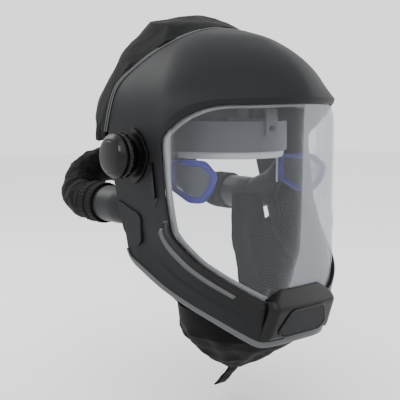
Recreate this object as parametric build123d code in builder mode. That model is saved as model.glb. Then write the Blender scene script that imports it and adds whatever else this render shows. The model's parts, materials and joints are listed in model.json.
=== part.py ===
from build123d import *
import os
from math import radians, sin, sqrt

from numpy import interp

# Powered air respirator head-top: a tilting shell with a clear visor, worn on a head harness.
# Millimetres. The origin is the middle of the tilt axis, which runs through both side knobs.
# +Z is up, the visor faces -Y, and the wearer's right-hand side is -X.

# ---------------------------------------------------------------- driving dimensions
HALF_WIDTH = 118.0        # shell half width at the knobs
DOME_BASE = 40.0          # height where the sides start to lean in
DOME_RISE = 105.0         # from there to the crown
WALL = 3.0                # moulded shell wall
VISOR_THICK = 2.0
GAP = 0.3                 # between neighbouring pieces
KNOB_RADIUS = 25.0
BAND_A, BAND_B = 80.0, 102.0      # head band ellipse, half width and half length
BAND_LOW, BAND_HIGH = 4.0, 38.0
TILT_HOLE = 6.5           # hole in the shell for the pivot stud
JAW_TOP = -80.0           # below this the jaw starts to taper
JAW_TAPER = 0.44          # slope of the jaw sides at the bottom rim
RIM_LEVEL = -204.0
CHEEK_Y = -8.0            # the sides are parallel behind this
REAR_Y = 60.0
FABRIC = 2.0
HOSE_BORE = 15.0
YOKE_TRAVEL = 15.0

# Height and front y of the shell on the centre plane, from the rim to the crown.
FRONT = ((-206, -142), (-165, -150), (-141, -153), (-110, -155), (40, -156), (62, -158), (74, -158),
         (92, -145), (110, -125), (125, -100), (136, -75), (142, -50), (145, -28))
# Height and the y where the side turns into the front curve.
CURVE_START = ((-206, -95), (-150, -80), (-80, -60), (40, -60), (90, -45), (145, -20))
# Height and the fullness of that curve: 2 is an ellipse, more is squarer.
FULLNESS = ((-206, 5), (-150, 3.2), (-100, 2.2), (-60, 2), (40, 2), (75, 1.6), (145, 1.65))
LEVELS = (-206, -185, -165, -145, -125, -100, -80, -40, 0, 40, 56, 68, 80, 92, 104, 115, 125, 133, 139,
          143, 144.4)

# Rear edge of the shell, crown to jaw, as (y, z), and its bottom rim from the jaw to the chin.
REAR_EDGE = ((-28, 144), (-15, 130.5), (-2, 117), (15, 99), (28, 86), (35, 74), (40, 48), (47, 25),
             (45, 0), (29, -50), (15, -85), (11, -99), (12, -106))
BOTTOM_RIM = ((6, -119), (-9, -126), (-43, -148), (-85, -170), (-115, -187), (-135, RIM_LEVEL))
RIM_TOP = ((11, -109), (-12, -118), (-45, -137), (-89, -159), (-118, -175), (-140, -195))
# Visor opening seen from the side, from the brow round the side to the chin.
OPENING = ((-180, 57), (-119, 57), (-105, 54), (-90, 46), (-68, 31), (-53, 19), (-58, -23), (-60, -39),
           (-65, -61), (-70, -79), (-75, -89), (-99, -111), (-121, -126), (-138, -140), (-147, -152),
           (-150, -156), (-180, -156))
TRIM_LOWER = ((-52, -82), (-57, -89), (-74, -106), (-91, -118), (-105, -130), (-118, -141), (-131, -156))

os.makedirs("parts", exist_ok=True)


def column(table, level):
    """Value of a (height, value) table at a level."""
    heights, values = zip(*table)
    return float(interp(level, heights, values))


def shell_section(level, inset):
    """Closed plan of the shell at a level, set in from its outer face by inset."""
    rise = max(0.0, (level - DOME_BASE) / DOME_RISE)
    height = level if rise == 0 else DOME_BASE + rise * (DOME_RISE - inset)
    shrink = sqrt(1 - rise**2)
    jaw = max(0.0, (JAW_TOP - level) / (JAW_TOP - RIM_LEVEL))
    width = (HALF_WIDTH - 5 * jaw - inset) * shrink
    taper = JAW_TAPER * jaw
    start, power = column(CURVE_START, level), column(FULLNESS, level)
    reach = start - (column(FRONT, level) + inset * shrink)
    points = [(width, CHEEK_Y)]
    for step in range(7):
        turn = radians(15 * step)
        y = start - reach * sin(turn)
        x = (width - taper * (CHEEK_Y - y)) * max(0.0, 1 - sin(turn) ** power) ** (1 / power)
        points.append((x, y))
    mirrored = [(-x, y) for x, y in reversed(points[:-1])]
    with BuildSketch(Plane.XY.offset(height)) as plan:
        with BuildLine():
            Spline(*points, *mirrored)
            Polyline(mirrored[-1], (-width, REAR_Y + inset), (width, REAR_Y + inset), points[0])
        make_face()
    return plan.sketch.face()


def law_solid(inset):
    """Solid bounded by the shell's surface, set in by inset."""
    with BuildPart() as body:
        loft([shell_section(level, inset) for level in LEVELS], ruled=True)
    return body.part


def law_skin(outside, inside):
    """Wall between two depths under the shell's surface, open at the rim and at the rear."""
    with BuildPart() as wall:
        add(law_solid(outside))
        add(law_solid(inside), mode=Mode.SUBTRACT)
    return wall.part


def write(piece, label):
    """Label a finished piece and export it under its own name."""
    piece.part.label = label
    export_step(piece.part, f"parts/{label}.step")


def write_pair(piece, label):
    """Export a right-hand piece and its mirror image on the left."""
    write(piece, f"{label}_right")
    with BuildPart() as twin:
        mirror(piece.part, about=Plane.YZ)
    write(twin, f"{label}_left")


# ---------------------------------------------------------------- tilting shell
with BuildPart() as shell:
    add(law_skin(0, WALL))
    with BuildSketch(Plane.YZ):
        with BuildLine():
            Polyline(*REAR_EDGE, *BOTTOM_RIM, (-180, RIM_LEVEL), (-180, 150), (-28, 150), close=True)
        make_face()
    extrude(amount=200, both=True, mode=Mode.INTERSECT)
    with BuildSketch(Plane.YZ):
        with BuildLine():
            Polyline(*OPENING, close=True)
        make_face()
    extrude(amount=200, both=True, mode=Mode.SUBTRACT)
    with BuildSketch(Plane.YZ):
        Circle(TILT_HOLE)
    extrude(amount=200, both=True, mode=Mode.SUBTRACT)
write(shell, "shell")

with BuildPart() as visor:
    add(law_skin(WALL + GAP, WALL + GAP + VISOR_THICK))
    with BuildSketch(Plane.YZ):
        with BuildLine():
            Polyline(*OPENING, close=True)
        make_face()
        offset(amount=5, kind=Kind.INTERSECTION)
    extrude(amount=200, both=True, mode=Mode.INTERSECT)
write(visor, "visor")

with BuildPart() as visor_gasket:
    add(law_skin(WALL + 2 * GAP + VISOR_THICK, WALL + 2 * GAP + VISOR_THICK + 2.4))
    with BuildSketch(Plane.YZ):
        with BuildLine():
            Polyline(*OPENING, close=True)
        make_face()
        offset(amount=5, kind=Kind.INTERSECTION)
    extrude(amount=200, both=True, mode=Mode.INTERSECT)
    with BuildSketch(Plane.YZ):
        with BuildLine():
            Polyline(*OPENING, close=True)
        make_face()
        offset(amount=-1.5, kind=Kind.INTERSECTION)
    extrude(amount=200, both=True, mode=Mode.SUBTRACT)
write(visor_gasket, "visor_gasket")

CHIN_HALF = 50.0
with BuildPart() as visor_frame:
    add(law_skin(-2.4, -GAP))
    with BuildSketch(Plane.YZ):
        with BuildLine():
            Polyline((-67, -76), (-74, -90), (-98, -112), (-120, -127), (-137, -141), (-150, -156),
                     *reversed(TRIM_LOWER), close=True)
        make_face()
    extrude(amount=200, both=True, mode=Mode.INTERSECT)
    with Locations((0, -150, -140)):
        Box(2 * CHIN_HALF + 2 * GAP, 80, 60, mode=Mode.SUBTRACT)
write(visor_frame, "visor_frame")

with BuildPart() as rim_trim:
    add(law_skin(-1.4, -GAP))
    with BuildSketch(Plane.YZ):
        with BuildLine():
            Polyline(*RIM_TOP, (-180, -195), (-180, RIM_LEVEL), *reversed(BOTTOM_RIM), close=True)
        make_face()
    extrude(amount=200, both=True, mode=Mode.INTERSECT)
write(rim_trim, "rim_trim")

# Chin block: its top slopes out to a nose, and its face leans back below it.
CHIN_TOP, CHIN_NOSE, CHIN_FOOT = (-150, -141), (-163, -159), (-150, -194)
with BuildPart() as chin_cover:
    with BuildSketch(Plane.YZ):
        with BuildLine():
            Polyline(CHIN_TOP, CHIN_NOSE, CHIN_FOOT, (-100, -194), (-100, -141), close=True)
        make_face()
    extrude(amount=CHIN_HALF + 4, both=True)
    with BuildSketch(Plane.XZ):
        with BuildLine():
            Polyline((-34, -141), (34, -141), (49, -152), (52, -194), (-52, -194), (-49, -152), close=True)
        make_face()
    extrude(amount=200, both=True, mode=Mode.INTERSECT)
    add(law_solid(-GAP), mode=Mode.SUBTRACT)
    chin_edges = chin_cover.edges().filter_by(Axis.X).sort_by(Axis.Y)
    fillet(chin_edges[:1], radius=3)
write(chin_cover, "chin_cover")

chin_face = Plane(origin=(0, -162.3, -161.5), x_dir=(1, 0, 0), z_dir=(0, -35, -13))
with BuildPart() as chin_plate:
    with BuildSketch(chin_face.offset(GAP)):
        with BuildLine():
            Polyline((-24, 0), (24, 0), (36, -24), (28, -32), (-28, -32), (-36, -24), close=True)
        make_face()
        fillet(vertices(), radius=3)
    extrude(amount=1.6)
write(chin_plate, "chin_plate")

# Beaded piping along the rear seam, and small clips that hold the visor under the brow.
SEAM = REAR_EDGE[:8]
with BuildPart() as piping:
    add(law_skin(-1.5, 1.5))
    with BuildSketch(Plane.YZ):
        with BuildLine():
            Polyline(*[(y + GAP, z) for y, z in SEAM], *[(y + 3.6, z) for y, z in reversed(SEAM)],
                     close=True)
        make_face()
    extrude(amount=200, both=True, mode=Mode.INTERSECT)
write(piping, "piping")

with BuildPart() as visor_clips:
    add(law_skin(WALL + GAP + VISOR_THICK + 3.3, WALL + GAP + VISOR_THICK + 5.3))
    with BuildSketch(Plane.XZ):
        with Locations((-56, 56), (0, 56), (56, 56)):
            Rectangle(18, 7)
    extrude(amount=160, mode=Mode.INTERSECT)
write(visor_clips, "visor_clips")

# ---------------------------------------------------------------- pieces on the sides of the shell
SIDE = HALF_WIDTH + 0.7       # where a piece laid on the shell's side starts
INNER_SIDE = HALF_WIDTH - WALL
with BuildPart() as side_cover:
    with BuildSketch(Plane.YZ.offset(-SIDE - 2)):
        with BuildLine():
            Polyline((27, -52), (-14, -64), (-19, -69), (-20, -95), (-14, -101), (-8, -101), (13, -87),
                     close=True)
        make_face()
        fillet(vertices(), radius=2.5)
    extrude(amount=2)
write_pair(side_cover, "side_cover")

with BuildPart() as arc_plate:
    with BuildSketch(Plane.YZ.offset(-SIDE - 2.5)):
        Circle(30)
        Circle(23.5, mode=Mode.SUBTRACT)
        with Locations((33, 0)):
            Rectangle(60, 80, mode=Mode.SUBTRACT)
    extrude(amount=2.5)
write_pair(arc_plate, "arc_plate")

with BuildPart() as latch:
    with BuildSketch(Plane.YZ.offset(-SIDE - 3.2)):
        with BuildLine():
            Polyline((-34, -4), (-41, -6), (-47, -42), (-41, -51), (-37, -48), (-35, -14), close=True)
        make_face()
        fillet(vertices(), radius=1)
    extrude(amount=3.2)
write_pair(latch, "latch")

with BuildPart() as pivot_bush:
    with BuildSketch(Plane.YZ.offset(-HALF_WIDTH)):
        Circle(TILT_HOLE - 0.05)
        Circle(5.05, mode=Mode.SUBTRACT)
    extrude(amount=WALL)
write_pair(pivot_bush, "pivot_bush")


def oval(y, x, z, half_width, half_height):
    """Upright elliptical face across the Y axis."""
    with BuildSketch(Plane.XZ.offset(-y)) as face:
        with Locations((x, z)):
            Ellipse(half_width, half_height)
    return face.sketch.face()


# Air path on each side: rear cone, then a channel inside the shell that ends at the deflector.
CONE = ((24, -97, -62, 17, 22), (42, -100, -62, 22, 22), (78, -103, -62, 21.5, 21.5))
CHANNEL = ((23.7, -97, -62, 16.5, 21.5), (-8, -96, -50, 13, 23), (-26, -96, -24, 9.5, 19))
DUCT_WALL = 1.8
PIN_X, PIN_Y = -87, -29      # upright hinge pin of the deflector
for stations, name in ((CONE, "duct"), (CHANNEL, "air_channel")):
    with BuildPart() as pipe:
        loft([oval(*station) for station in stations], ruled=True)
        loft([oval(y, x, z, a - DUCT_WALL, b - DUCT_WALL) for y, x, z, a, b in stations], ruled=True,
             mode=Mode.SUBTRACT)
        if name == "air_channel":
            for level in (-39, -7):
                with Locations((PIN_X - 4, PIN_Y + 0.8, level)):
                    Box(14, 6.4, 3.4)
            with Locations((PIN_X, PIN_Y, -23)):
                Cylinder(1.55, 50, mode=Mode.SUBTRACT)
    write_pair(pipe, name)

with BuildPart() as cuff:
    for low in (72, 87.3):
        with BuildSketch(Plane.XZ.offset(-low)):
            with Locations((-103, -62)):
                Circle(25)
                Circle(22.3, mode=Mode.SUBTRACT)
        extrude(amount=-13)
    with BuildSketch(Plane.XZ.offset(-85)):
        with Locations((-103, -62)):
            Circle(23.8)
            Circle(22.3, mode=Mode.SUBTRACT)
    extrude(amount=-2.3)
write_pair(cuff, "cuff")

# Fabric sleeve from the cuff round to the manifold behind the head.
SLEEVE_RADIUS = 23.0
with BuildPart() as sleeve:
    with BuildLine() as sleeve_path:
        FilletPolyline((-103, 102.8, -62), (-103, 146, -58), (-78, 156, -28), (-50, 151, -21),
                       radius=[25, 33])
    with BuildSketch(Plane(origin=sleeve_path.line @ 0, z_dir=sleeve_path.line % 0)):
        Circle(SLEEVE_RADIUS)
    sweep()
write_pair(sleeve, "sleeve")

# Deflector: a clear grey leaf in a coloured rim, hinged on an upright pin.
LEAF = ((-33, -6), (-64, -3), (-90, -3), (-109, -17), (-102, -35), (-87, -49), (-66, -50), (-33, -37))
with BuildPart() as deflector_pin:
    with Locations((PIN_X, PIN_Y, -23)):
        Cylinder(1.5, 36)
write_pair(deflector_pin, "deflector_pin")
with BuildPart() as deflector_rim:
    with BuildSketch(Plane.YZ.offset(PIN_X - 2.5)):
        with BuildLine():
            Polyline(*LEAF, close=True)
        make_face()
        fillet(vertices(), radius=3)
        offset(amount=-7, kind=Kind.INTERSECTION, mode=Mode.SUBTRACT)
    extrude(amount=5)
    with Locations((PIN_X, PIN_Y - 3.6, -23)):
        Box(3, 5, 26)
    with Locations((PIN_X, PIN_Y, -23)):
        Cylinder(3, 28)
        Cylinder(1.6, 60, mode=Mode.SUBTRACT)
write_pair(deflector_rim, "deflector_rim")
with BuildPart() as deflector_leaf:
    with BuildSketch(Plane.YZ.offset(PIN_X - 1)):
        with BuildLine():
            Polyline(*LEAF, close=True)
        make_face()
        offset(amount=-7.2, kind=Kind.INTERSECTION)
    extrude(amount=2)
write_pair(deflector_leaf, "deflector_leaf")

# ---------------------------------------------------------------- tilt pivots and knobs
KNOB_FACE, KNOB_BACK, COLLAR_BACK = -148.0, -128.0, -121.7
STUD_RADIUS = 5.0
with BuildPart() as knob:
    with BuildSketch(Plane.YZ.offset(KNOB_FACE)):
        Circle(KNOB_RADIUS)
        with PolarLocations(KNOB_RADIUS + 0.4, 24):
            Circle(1.3, mode=Mode.SUBTRACT)
    extrude(amount=KNOB_BACK - KNOB_FACE)
    with BuildSketch(Plane.YZ.offset(KNOB_BACK)):
        Circle(20)
    extrude(amount=COLLAR_BACK - KNOB_BACK)
    with BuildSketch(Plane.YZ.offset(KNOB_FACE + 6)):
        Circle(STUD_RADIUS + 0.05)
    extrude(amount=40, mode=Mode.SUBTRACT)
write_pair(knob, "knob")
with BuildPart() as knob_cap:
    with BuildSketch(Plane.YZ.offset(KNOB_FACE - 1.5)):
        Circle(17)
    extrude(amount=1.5)
    chamfer(knob_cap.faces().sort_by(Axis.X)[0].edges(), length=0.8)
write_pair(knob_cap, "knob_cap")
with BuildPart() as pivot_stud:
    with BuildSketch(Plane.YZ.offset(KNOB_FACE + 7)):
        Circle(STUD_RADIUS)
    extrude(amount=55)
write_pair(pivot_stud, "pivot_stud")
with BuildPart() as pivot_washers:
    for start, length in ((-SIDE - 2.6, 2.6), (-INNER_SIDE + GAP, 2.4)):
        with BuildSketch(Plane.YZ.offset(start)):
            Circle(14)
            Circle(STUD_RADIUS + 0.05, mode=Mode.SUBTRACT)
        extrude(amount=length)
write_pair(pivot_washers, "pivot_washers")

ARM_FACE = BAND_A + 3.3
RIVETS = ((-9, 22), (9, 22))
with BuildPart() as pivot_arm:
    with BuildSketch(Plane.YZ.offset(-ARM_FACE)):
        with BuildLine():
            Polyline((-14, -12), (30, -12), (30, 2), (14, 4), (14, 30), (-14, 30), close=True)
        make_face()
        fillet(vertices(), radius=1.5)
        with Locations(*RIVETS):
            Circle(2.5, mode=Mode.SUBTRACT)
    extrude(amount=3)
    with BuildSketch(Plane.YZ.offset(-INNER_SIDE + 3)):
        Circle(12)
    extrude(amount=INNER_SIDE - 3 - ARM_FACE)
    with BuildSketch(Plane.YZ.offset(-INNER_SIDE + 2.9)):
        Circle(STUD_RADIUS + 0.05)
    extrude(amount=26.3, mode=Mode.SUBTRACT)
write_pair(pivot_arm, "pivot_arm")

# ---------------------------------------------------------------- head harness
BAND_THICK = 2.5
with BuildPart() as headband:
    with BuildSketch(Plane.XY.offset(BAND_LOW)):
        Ellipse(BAND_A, BAND_B)
        Ellipse(BAND_A - BAND_THICK, BAND_B - BAND_THICK, mode=Mode.SUBTRACT)
        with Locations((0, 45 + 100)):
            Rectangle(200, 200, mode=Mode.SUBTRACT)
    extrude(amount=BAND_HIGH - BAND_LOW)
    with BuildSketch(Plane.YZ):
        with Locations(*RIVETS):
            Circle(2.5)
    extrude(amount=100, both=True, mode=Mode.SUBTRACT)
write(headband, "headband")

with BuildPart() as band_rivets:
    for face in (-ARM_FACE - 1, BAND_A - 4.5):
        with BuildSketch(Plane.YZ.offset(face)):
            with Locations(*RIVETS):
                Circle(2.4)
        extrude(amount=ARM_FACE + 1 - (BAND_A - 4.5))
write(band_rivets, "band_rivets")

PAD_GAP = BAND_THICK + 1.5 * GAP
with BuildPart() as sweatband:
    with BuildSketch(Plane.XY.offset(BAND_LOW - 2)):
        Ellipse(BAND_A - PAD_GAP, BAND_B - PAD_GAP)
        Ellipse(BAND_A - PAD_GAP - 5, BAND_B - PAD_GAP - 6, mode=Mode.SUBTRACT)
        with Locations((0, -22 + 100)):
            Rectangle(200, 200, mode=Mode.SUBTRACT)
    extrude(amount=32)
write(sweatband, "sweatband")

STRAP = 2.0
ARCH_LEVEL = 38.0
CROSS_Y = 26.0
with BuildPart() as cross_strap:
    with BuildSketch(Plane.XZ.offset(-CROSS_Y + 9)):
        with Locations((0, ARCH_LEVEL)):
            Ellipse(BAND_A + GAP + STRAP, 88)
            Ellipse(BAND_A + GAP, 88 - STRAP, mode=Mode.SUBTRACT)
        with Locations((0, ARCH_LEVEL - 50)):
            Rectangle(200, 100, mode=Mode.SUBTRACT)
        for sign in (-1, 1):
            with Locations((sign * (BAND_A + GAP + STRAP / 2), ARCH_LEVEL - 8)):
                Rectangle(STRAP, 16)
    extrude(amount=-18)
write(cross_strap, "cross_strap")

FRONT_REACH = BAND_B + GAP + CROSS_Y
with BuildPart() as crown_strap:
    with BuildSketch(Plane.YZ.offset(-9)):
        with Locations((CROSS_Y, ARCH_LEVEL)):
            Ellipse(FRONT_REACH + STRAP, 88 + GAP + STRAP)
            Ellipse(FRONT_REACH, 88 + GAP, mode=Mode.SUBTRACT)
        with Locations((0, ARCH_LEVEL - 50)):
            Rectangle(400, 100, mode=Mode.SUBTRACT)
        with Locations((CROSS_Y + 110, 100)):
            Rectangle(200, 200, mode=Mode.SUBTRACT)
        with Locations((CROSS_Y - FRONT_REACH - STRAP / 2, ARCH_LEVEL - 8)):
            Rectangle(STRAP, 16)
    extrude(amount=18)
write(crown_strap, "crown_strap")

with BuildPart() as strap_pins:
    for sign in (-1, 1):
        with BuildSketch(Plane.YZ.offset(sign * (BAND_A + GAP + STRAP) + (0 if sign > 0 else -1.4))):
            with Locations((CROSS_Y, 30)):
                Circle(3.5)
        extrude(amount=1.4)
    with BuildSketch(Plane.XZ.offset(FRONT_REACH - CROSS_Y + STRAP)):
        with Locations((0, 30)):
            Circle(3.5)
    extrude(amount=1.4)
write(strap_pins, "strap_pins")

# Sliding rear yoke with its pad, ratchet housing, pinion and fit wheel.
YOKE_A, YOKE_B, YOKE_THICK = 76.5, 100.0, 2.4
with BuildPart() as rear_yoke:
    with BuildSketch(Plane.XY.offset(8)):
        Ellipse(YOKE_A, YOKE_B)
        Ellipse(YOKE_A - YOKE_THICK, YOKE_B - YOKE_THICK, mode=Mode.SUBTRACT)
        with Locations((0, 20 - 100)):
            Rectangle(200, 200, mode=Mode.SUBTRACT)
    extrude(amount=26)
write(rear_yoke, "rear_yoke")

with BuildPart() as rear_pad:
    with BuildSketch(Plane.XY.offset(10)):
        Ellipse(YOKE_A - YOKE_THICK - GAP, YOKE_B - YOKE_THICK - GAP)
        Ellipse(YOKE_A - YOKE_THICK - 6, YOKE_B - YOKE_THICK - 7, mode=Mode.SUBTRACT)
        with Locations((0, 62 - 100)):
            Rectangle(200, 200, mode=Mode.SUBTRACT)
    extrude(amount=22)
write(rear_pad, "rear_pad")

WHEEL_LEVEL = 21.0
with BuildPart() as ratchet_housing:
    with Locations((0, 106.3, WHEEL_LEVEL)):
        Box(64, 12, 32)
    fillet(ratchet_housing.edges().filter_by(Axis.Y), radius=8)
    with Locations((0, 105.8, WHEEL_LEVEL)):
        Box(48, 7, 20, mode=Mode.SUBTRACT)
    with Locations((0, 112, WHEEL_LEVEL)):
        Cylinder(4.2, 8, rotation=(90, 0, 0), mode=Mode.SUBTRACT)
write(ratchet_housing, "ratchet_housing")

with BuildPart() as fit_wheel:
    with BuildSketch(Plane.XZ.offset(-112.7)):
        with Locations((0, WHEEL_LEVEL)):
            Circle(18)
            with PolarLocations(18.6, 16):
                Circle(1.6, mode=Mode.SUBTRACT)
    extrude(amount=-8.3)
write(fit_wheel, "fit_wheel")

with BuildPart() as ratchet_pinion:
    with Locations((0, 106, WHEEL_LEVEL)):
        Cylinder(5, 5, rotation=(90, 0, 0))
    with Locations((0, 110.6, WHEEL_LEVEL)):
        Cylinder(4.1, 4.2, rotation=(90, 0, 0))
    with BuildSketch(Plane.XZ.offset(-103.5)):
        with Locations((0, WHEEL_LEVEL)):
            with PolarLocations(5.4, 10):
                Rectangle(2.4, 1.4)
    extrude(amount=-5)
write(ratchet_pinion, "ratchet_pinion")

# Carrier band below the head band, bracket, manifold and its inlet, all behind the head.
with BuildPart() as hose_carrier:
    with BuildSketch(Plane.XY.offset(-12)):
        Ellipse(BAND_A + 9.3, 118)
        Ellipse(BAND_A + 7, 115.7, mode=Mode.SUBTRACT)
        with Locations((0, 15 - 150)):
            Rectangle(300, 300, mode=Mode.SUBTRACT)
    extrude(amount=10)
write(hose_carrier, "hose_carrier")

MANIFOLD_Y, PORT_LEVEL = 150.0, -21.0
with BuildPart() as manifold_bracket:
    with Locations((0, 123, -12)):
        Box(34, 9.4, 28)
    fillet(manifold_bracket.edges().filter_by(Axis.Y), radius=3)
write(manifold_bracket, "manifold_bracket")

with BuildPart() as manifold:
    with Locations((0, MANIFOLD_Y, PORT_LEVEL)):
        Box(70, 44, 50)
    fillet(manifold.edges().filter_by(Axis.X), radius=12)
    with Locations((0, MANIFOLD_Y, PORT_LEVEL)):
        Cylinder(19, 84, rotation=(0, 90, 0))
    with Locations((0, MANIFOLD_Y, -60)):
        Cylinder(20, 30)
    with Locations((0, MANIFOLD_Y, PORT_LEVEL)):
        Cylinder(16.5, 100, rotation=(0, 90, 0), mode=Mode.SUBTRACT)
    with Locations((0, MANIFOLD_Y, -50)):
        Cylinder(HOSE_BORE, 60, mode=Mode.SUBTRACT)
    with Locations((0, MANIFOLD_Y, -42)):
        Cylinder(17.1, 2, mode=Mode.SUBTRACT)
write(manifold, "manifold")

with BuildPart() as inlet_seal:
    with BuildSketch(Plane.XZ.offset(-MANIFOLD_Y)):
        with Locations((HOSE_BORE + 1.1, -42)):
            Circle(0.9)
    revolve(axis=Axis((0, MANIFOLD_Y, 0), (0, 0, 1)))
write(inlet_seal, "inlet_seal")

with BuildPart() as swivel_ring:
    with BuildSketch(Plane.XY.offset(-73)):
        with Locations((0, MANIFOLD_Y)):
            Circle(25)
            Circle(20.3, mode=Mode.SUBTRACT)
            with PolarLocations(25.6, 18):
                Circle(1.4, mode=Mode.SUBTRACT)
    extrude(amount=13)
write(swivel_ring, "swivel_ring")

# ---------------------------------------------------------------- fabric hood, face seal and tab
# Height, half width, centre y and half length of the hood's plan.
HOOD = ((26, 108, 40, 86), (38, 115, 43, 95), (52, 118, 45, 100), (70, 112, 33, 96), (91, 104, 20, 84),
        (110, 88, 12, 86), (128, 66, 10, 82), (146, 45, 30, 50), (156, 28, 42, 42), (161, 14, 50, 30),
        (163.5, 6, 52, 20))
# The same for the pouch of the face seal, below the rim.
POUCH = ((-176, 72, -52, 76), (-206, 70, -56, 76), (-218, 62, -54, 66), (-232, 48, -53, 46),
         (-245, 31, -51, 25), (-258, 12, -49, 7))
# Side walls of the face seal, as (z, front x, front y, rear x, rear y) of their inner faces.
SEAL_WALL = ((-178, 70, -58, 51, 0), (-150, 74, -58, 69, 26), (-120, 76, -50, 71, 36), (-90, 77, -18, 72, 38),
             (-60, 77, -10, 72, 36))


def plan_oval(level, half_width, centre, half_length, inset=0.0):
    """Level elliptical face of a fabric piece."""
    with BuildSketch(Plane.XY.offset(level)) as face:
        with Locations((0, centre)):
            Ellipse(half_width - inset, half_length - inset)
    return face.sketch.face()


with BuildPart() as hood:
    loft([plan_oval(*row) for row in HOOD], ruled=True)
    loft([plan_oval(z - FABRIC * (z - 26) / 60 - 0.01, *row, inset=FABRIC) for z, *row in HOOD],
         ruled=True, mode=Mode.SUBTRACT)
    with BuildSketch(Plane.YZ):
        with BuildLine():
            Polyline(*[(y + 4.2, z) for y, z in SEAM], (52, 20), (200, 20), (200, 170), (-23.8, 170),
                     close=True)
        make_face()
    extrude(amount=200, both=True, mode=Mode.INTERSECT)
write(hood, "hood")

with BuildPart() as face_seal:
    loft([plan_oval(*row) for row in POUCH], ruled=True)
    loft([plan_oval(row[0] + 2 if row[0] < -176 else row[0], *row[1:], inset=FABRIC) for row in POUCH],
         ruled=True, mode=Mode.SUBTRACT)
    for sign in (-1, 1):
        slices = []
        for level, front_x, front_y, rear_x, rear_y in SEAL_WALL:
            with BuildSketch(Plane.XY.offset(level)) as piece:
                with BuildLine():
                    Polyline((sign * front_x, front_y), (sign * rear_x, rear_y),
                             (sign * (rear_x + FABRIC), rear_y), (sign * (front_x + FABRIC), front_y), close=True)
                make_face()
            slices.append(piece.sketch.face())
        loft(slices, ruled=True)
write(face_seal, "face_seal")

TAB_WIDTH = 18.0
with BuildPart() as pull_tab:
    with BuildSketch(Plane.YZ.offset(-TAB_WIDTH / 2)):
        with BuildLine():
            Polyline((-48, -258.5), (-45, -258.5), (-18, -287), (-21, -288.5), close=True)
        make_face()
    extrude(amount=TAB_WIDTH)
write(pull_tab, "pull_tab")
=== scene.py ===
"""Looks of the powered air respirator head-top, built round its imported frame.

Sizes in the classes are in millimetres, in the frame's own axes: +Z up, the visor faces -Y, and the
wearer's right-hand side is -X. They are turned into metres when a mesh is made.
"""

import json
import logging
import math
from dataclasses import dataclass
from enum import Enum
from typing import Callable, Iterable, Sequence

import bmesh
import bpy
import numpy as np
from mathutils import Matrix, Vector, noise


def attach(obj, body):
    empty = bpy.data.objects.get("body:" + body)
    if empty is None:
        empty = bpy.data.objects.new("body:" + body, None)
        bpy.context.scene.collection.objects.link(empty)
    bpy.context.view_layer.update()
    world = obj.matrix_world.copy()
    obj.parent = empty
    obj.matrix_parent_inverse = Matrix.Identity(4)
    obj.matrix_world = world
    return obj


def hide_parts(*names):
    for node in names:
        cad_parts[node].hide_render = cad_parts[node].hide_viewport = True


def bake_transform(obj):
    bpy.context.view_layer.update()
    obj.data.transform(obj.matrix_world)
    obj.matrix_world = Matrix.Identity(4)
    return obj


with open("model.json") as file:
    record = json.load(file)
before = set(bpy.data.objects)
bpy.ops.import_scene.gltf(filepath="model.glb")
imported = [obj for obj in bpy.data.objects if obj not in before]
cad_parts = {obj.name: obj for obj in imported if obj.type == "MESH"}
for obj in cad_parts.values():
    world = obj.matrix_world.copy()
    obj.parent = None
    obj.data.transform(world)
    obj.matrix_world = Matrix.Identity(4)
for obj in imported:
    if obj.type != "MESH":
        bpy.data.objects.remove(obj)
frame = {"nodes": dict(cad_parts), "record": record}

LOG = logging.getLogger("respirator")
MM = 0.001
HARNESS, SHELL_BODY = "head_harness", "head_shell"
Point = tuple[float, float, float]
Pair = tuple[float, float]


class Side(Enum):
    """One side of the wearer, with the sign of its X."""

    RIGHT = -1
    LEFT = 1

    @property
    def label(self) -> str:
        """The side's name as the nodes spell it."""
        return self.name.lower()


# ------------------------------------------------------------------ mesh helpers
def mesh_object(name: str, points: Sequence[Sequence[float]], faces: Sequence[Sequence[int]],
                smooth: bool = True) -> bpy.types.Object:
    """Make an object from points in millimetres.

    Args:
        name: the piece's name.
        points: its vertices.
        faces: vertex numbers of each face.
        smooth: whether faces are shaded smooth.

    Returns:
        The new object, at the origin, with outward normals.
    """
    mesh = bpy.data.meshes.new(name)
    mesh.from_pydata([tuple(c * MM for c in p) for p in points], [], [tuple(f) for f in faces])
    work = bmesh.new()
    work.from_mesh(mesh)
    bmesh.ops.remove_doubles(work, verts=work.verts, dist=1e-6)
    bmesh.ops.recalc_face_normals(work, faces=work.faces)
    work.to_mesh(mesh)
    work.free()
    mesh.polygons.foreach_set("use_smooth", [smooth] * len(mesh.polygons))
    item = bpy.data.objects.new(name, mesh)
    bpy.context.collection.objects.link(item)
    return item


def grid_faces(rows: int, columns: int, wrap_rows: bool = False, wrap_columns: bool = False) -> list[list[int]]:
    """Quads of a grid whose vertices are numbered row by row."""
    faces = []
    for i in range(rows if wrap_rows else rows - 1):
        for j in range(columns if wrap_columns else columns - 1):
            k, m = (i + 1) % rows, (j + 1) % columns
            faces.append([i * columns + j, i * columns + m, k * columns + m, k * columns + j])
    return faces


def grid_object(name: str, grid: Sequence[Sequence[Sequence[float]]], wrap_rows: bool = False,
                wrap_columns: bool = False) -> bpy.types.Object:
    """Make an object from a grid of points given row by row."""
    points = [p for row in grid for p in row]
    return mesh_object(name, points, grid_faces(len(grid), len(grid[0]), wrap_rows, wrap_columns))


def tidy_mesh(item: bpy.types.Object) -> bpy.types.Object:
    """Replace an object's mesh by the result of its modifiers, and drop them."""
    result = bpy.data.meshes.new_from_object(item.evaluated_get(bpy.context.evaluated_depsgraph_get()))
    result.name = item.name
    item.modifiers.clear()
    item.data = result
    return item


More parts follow.
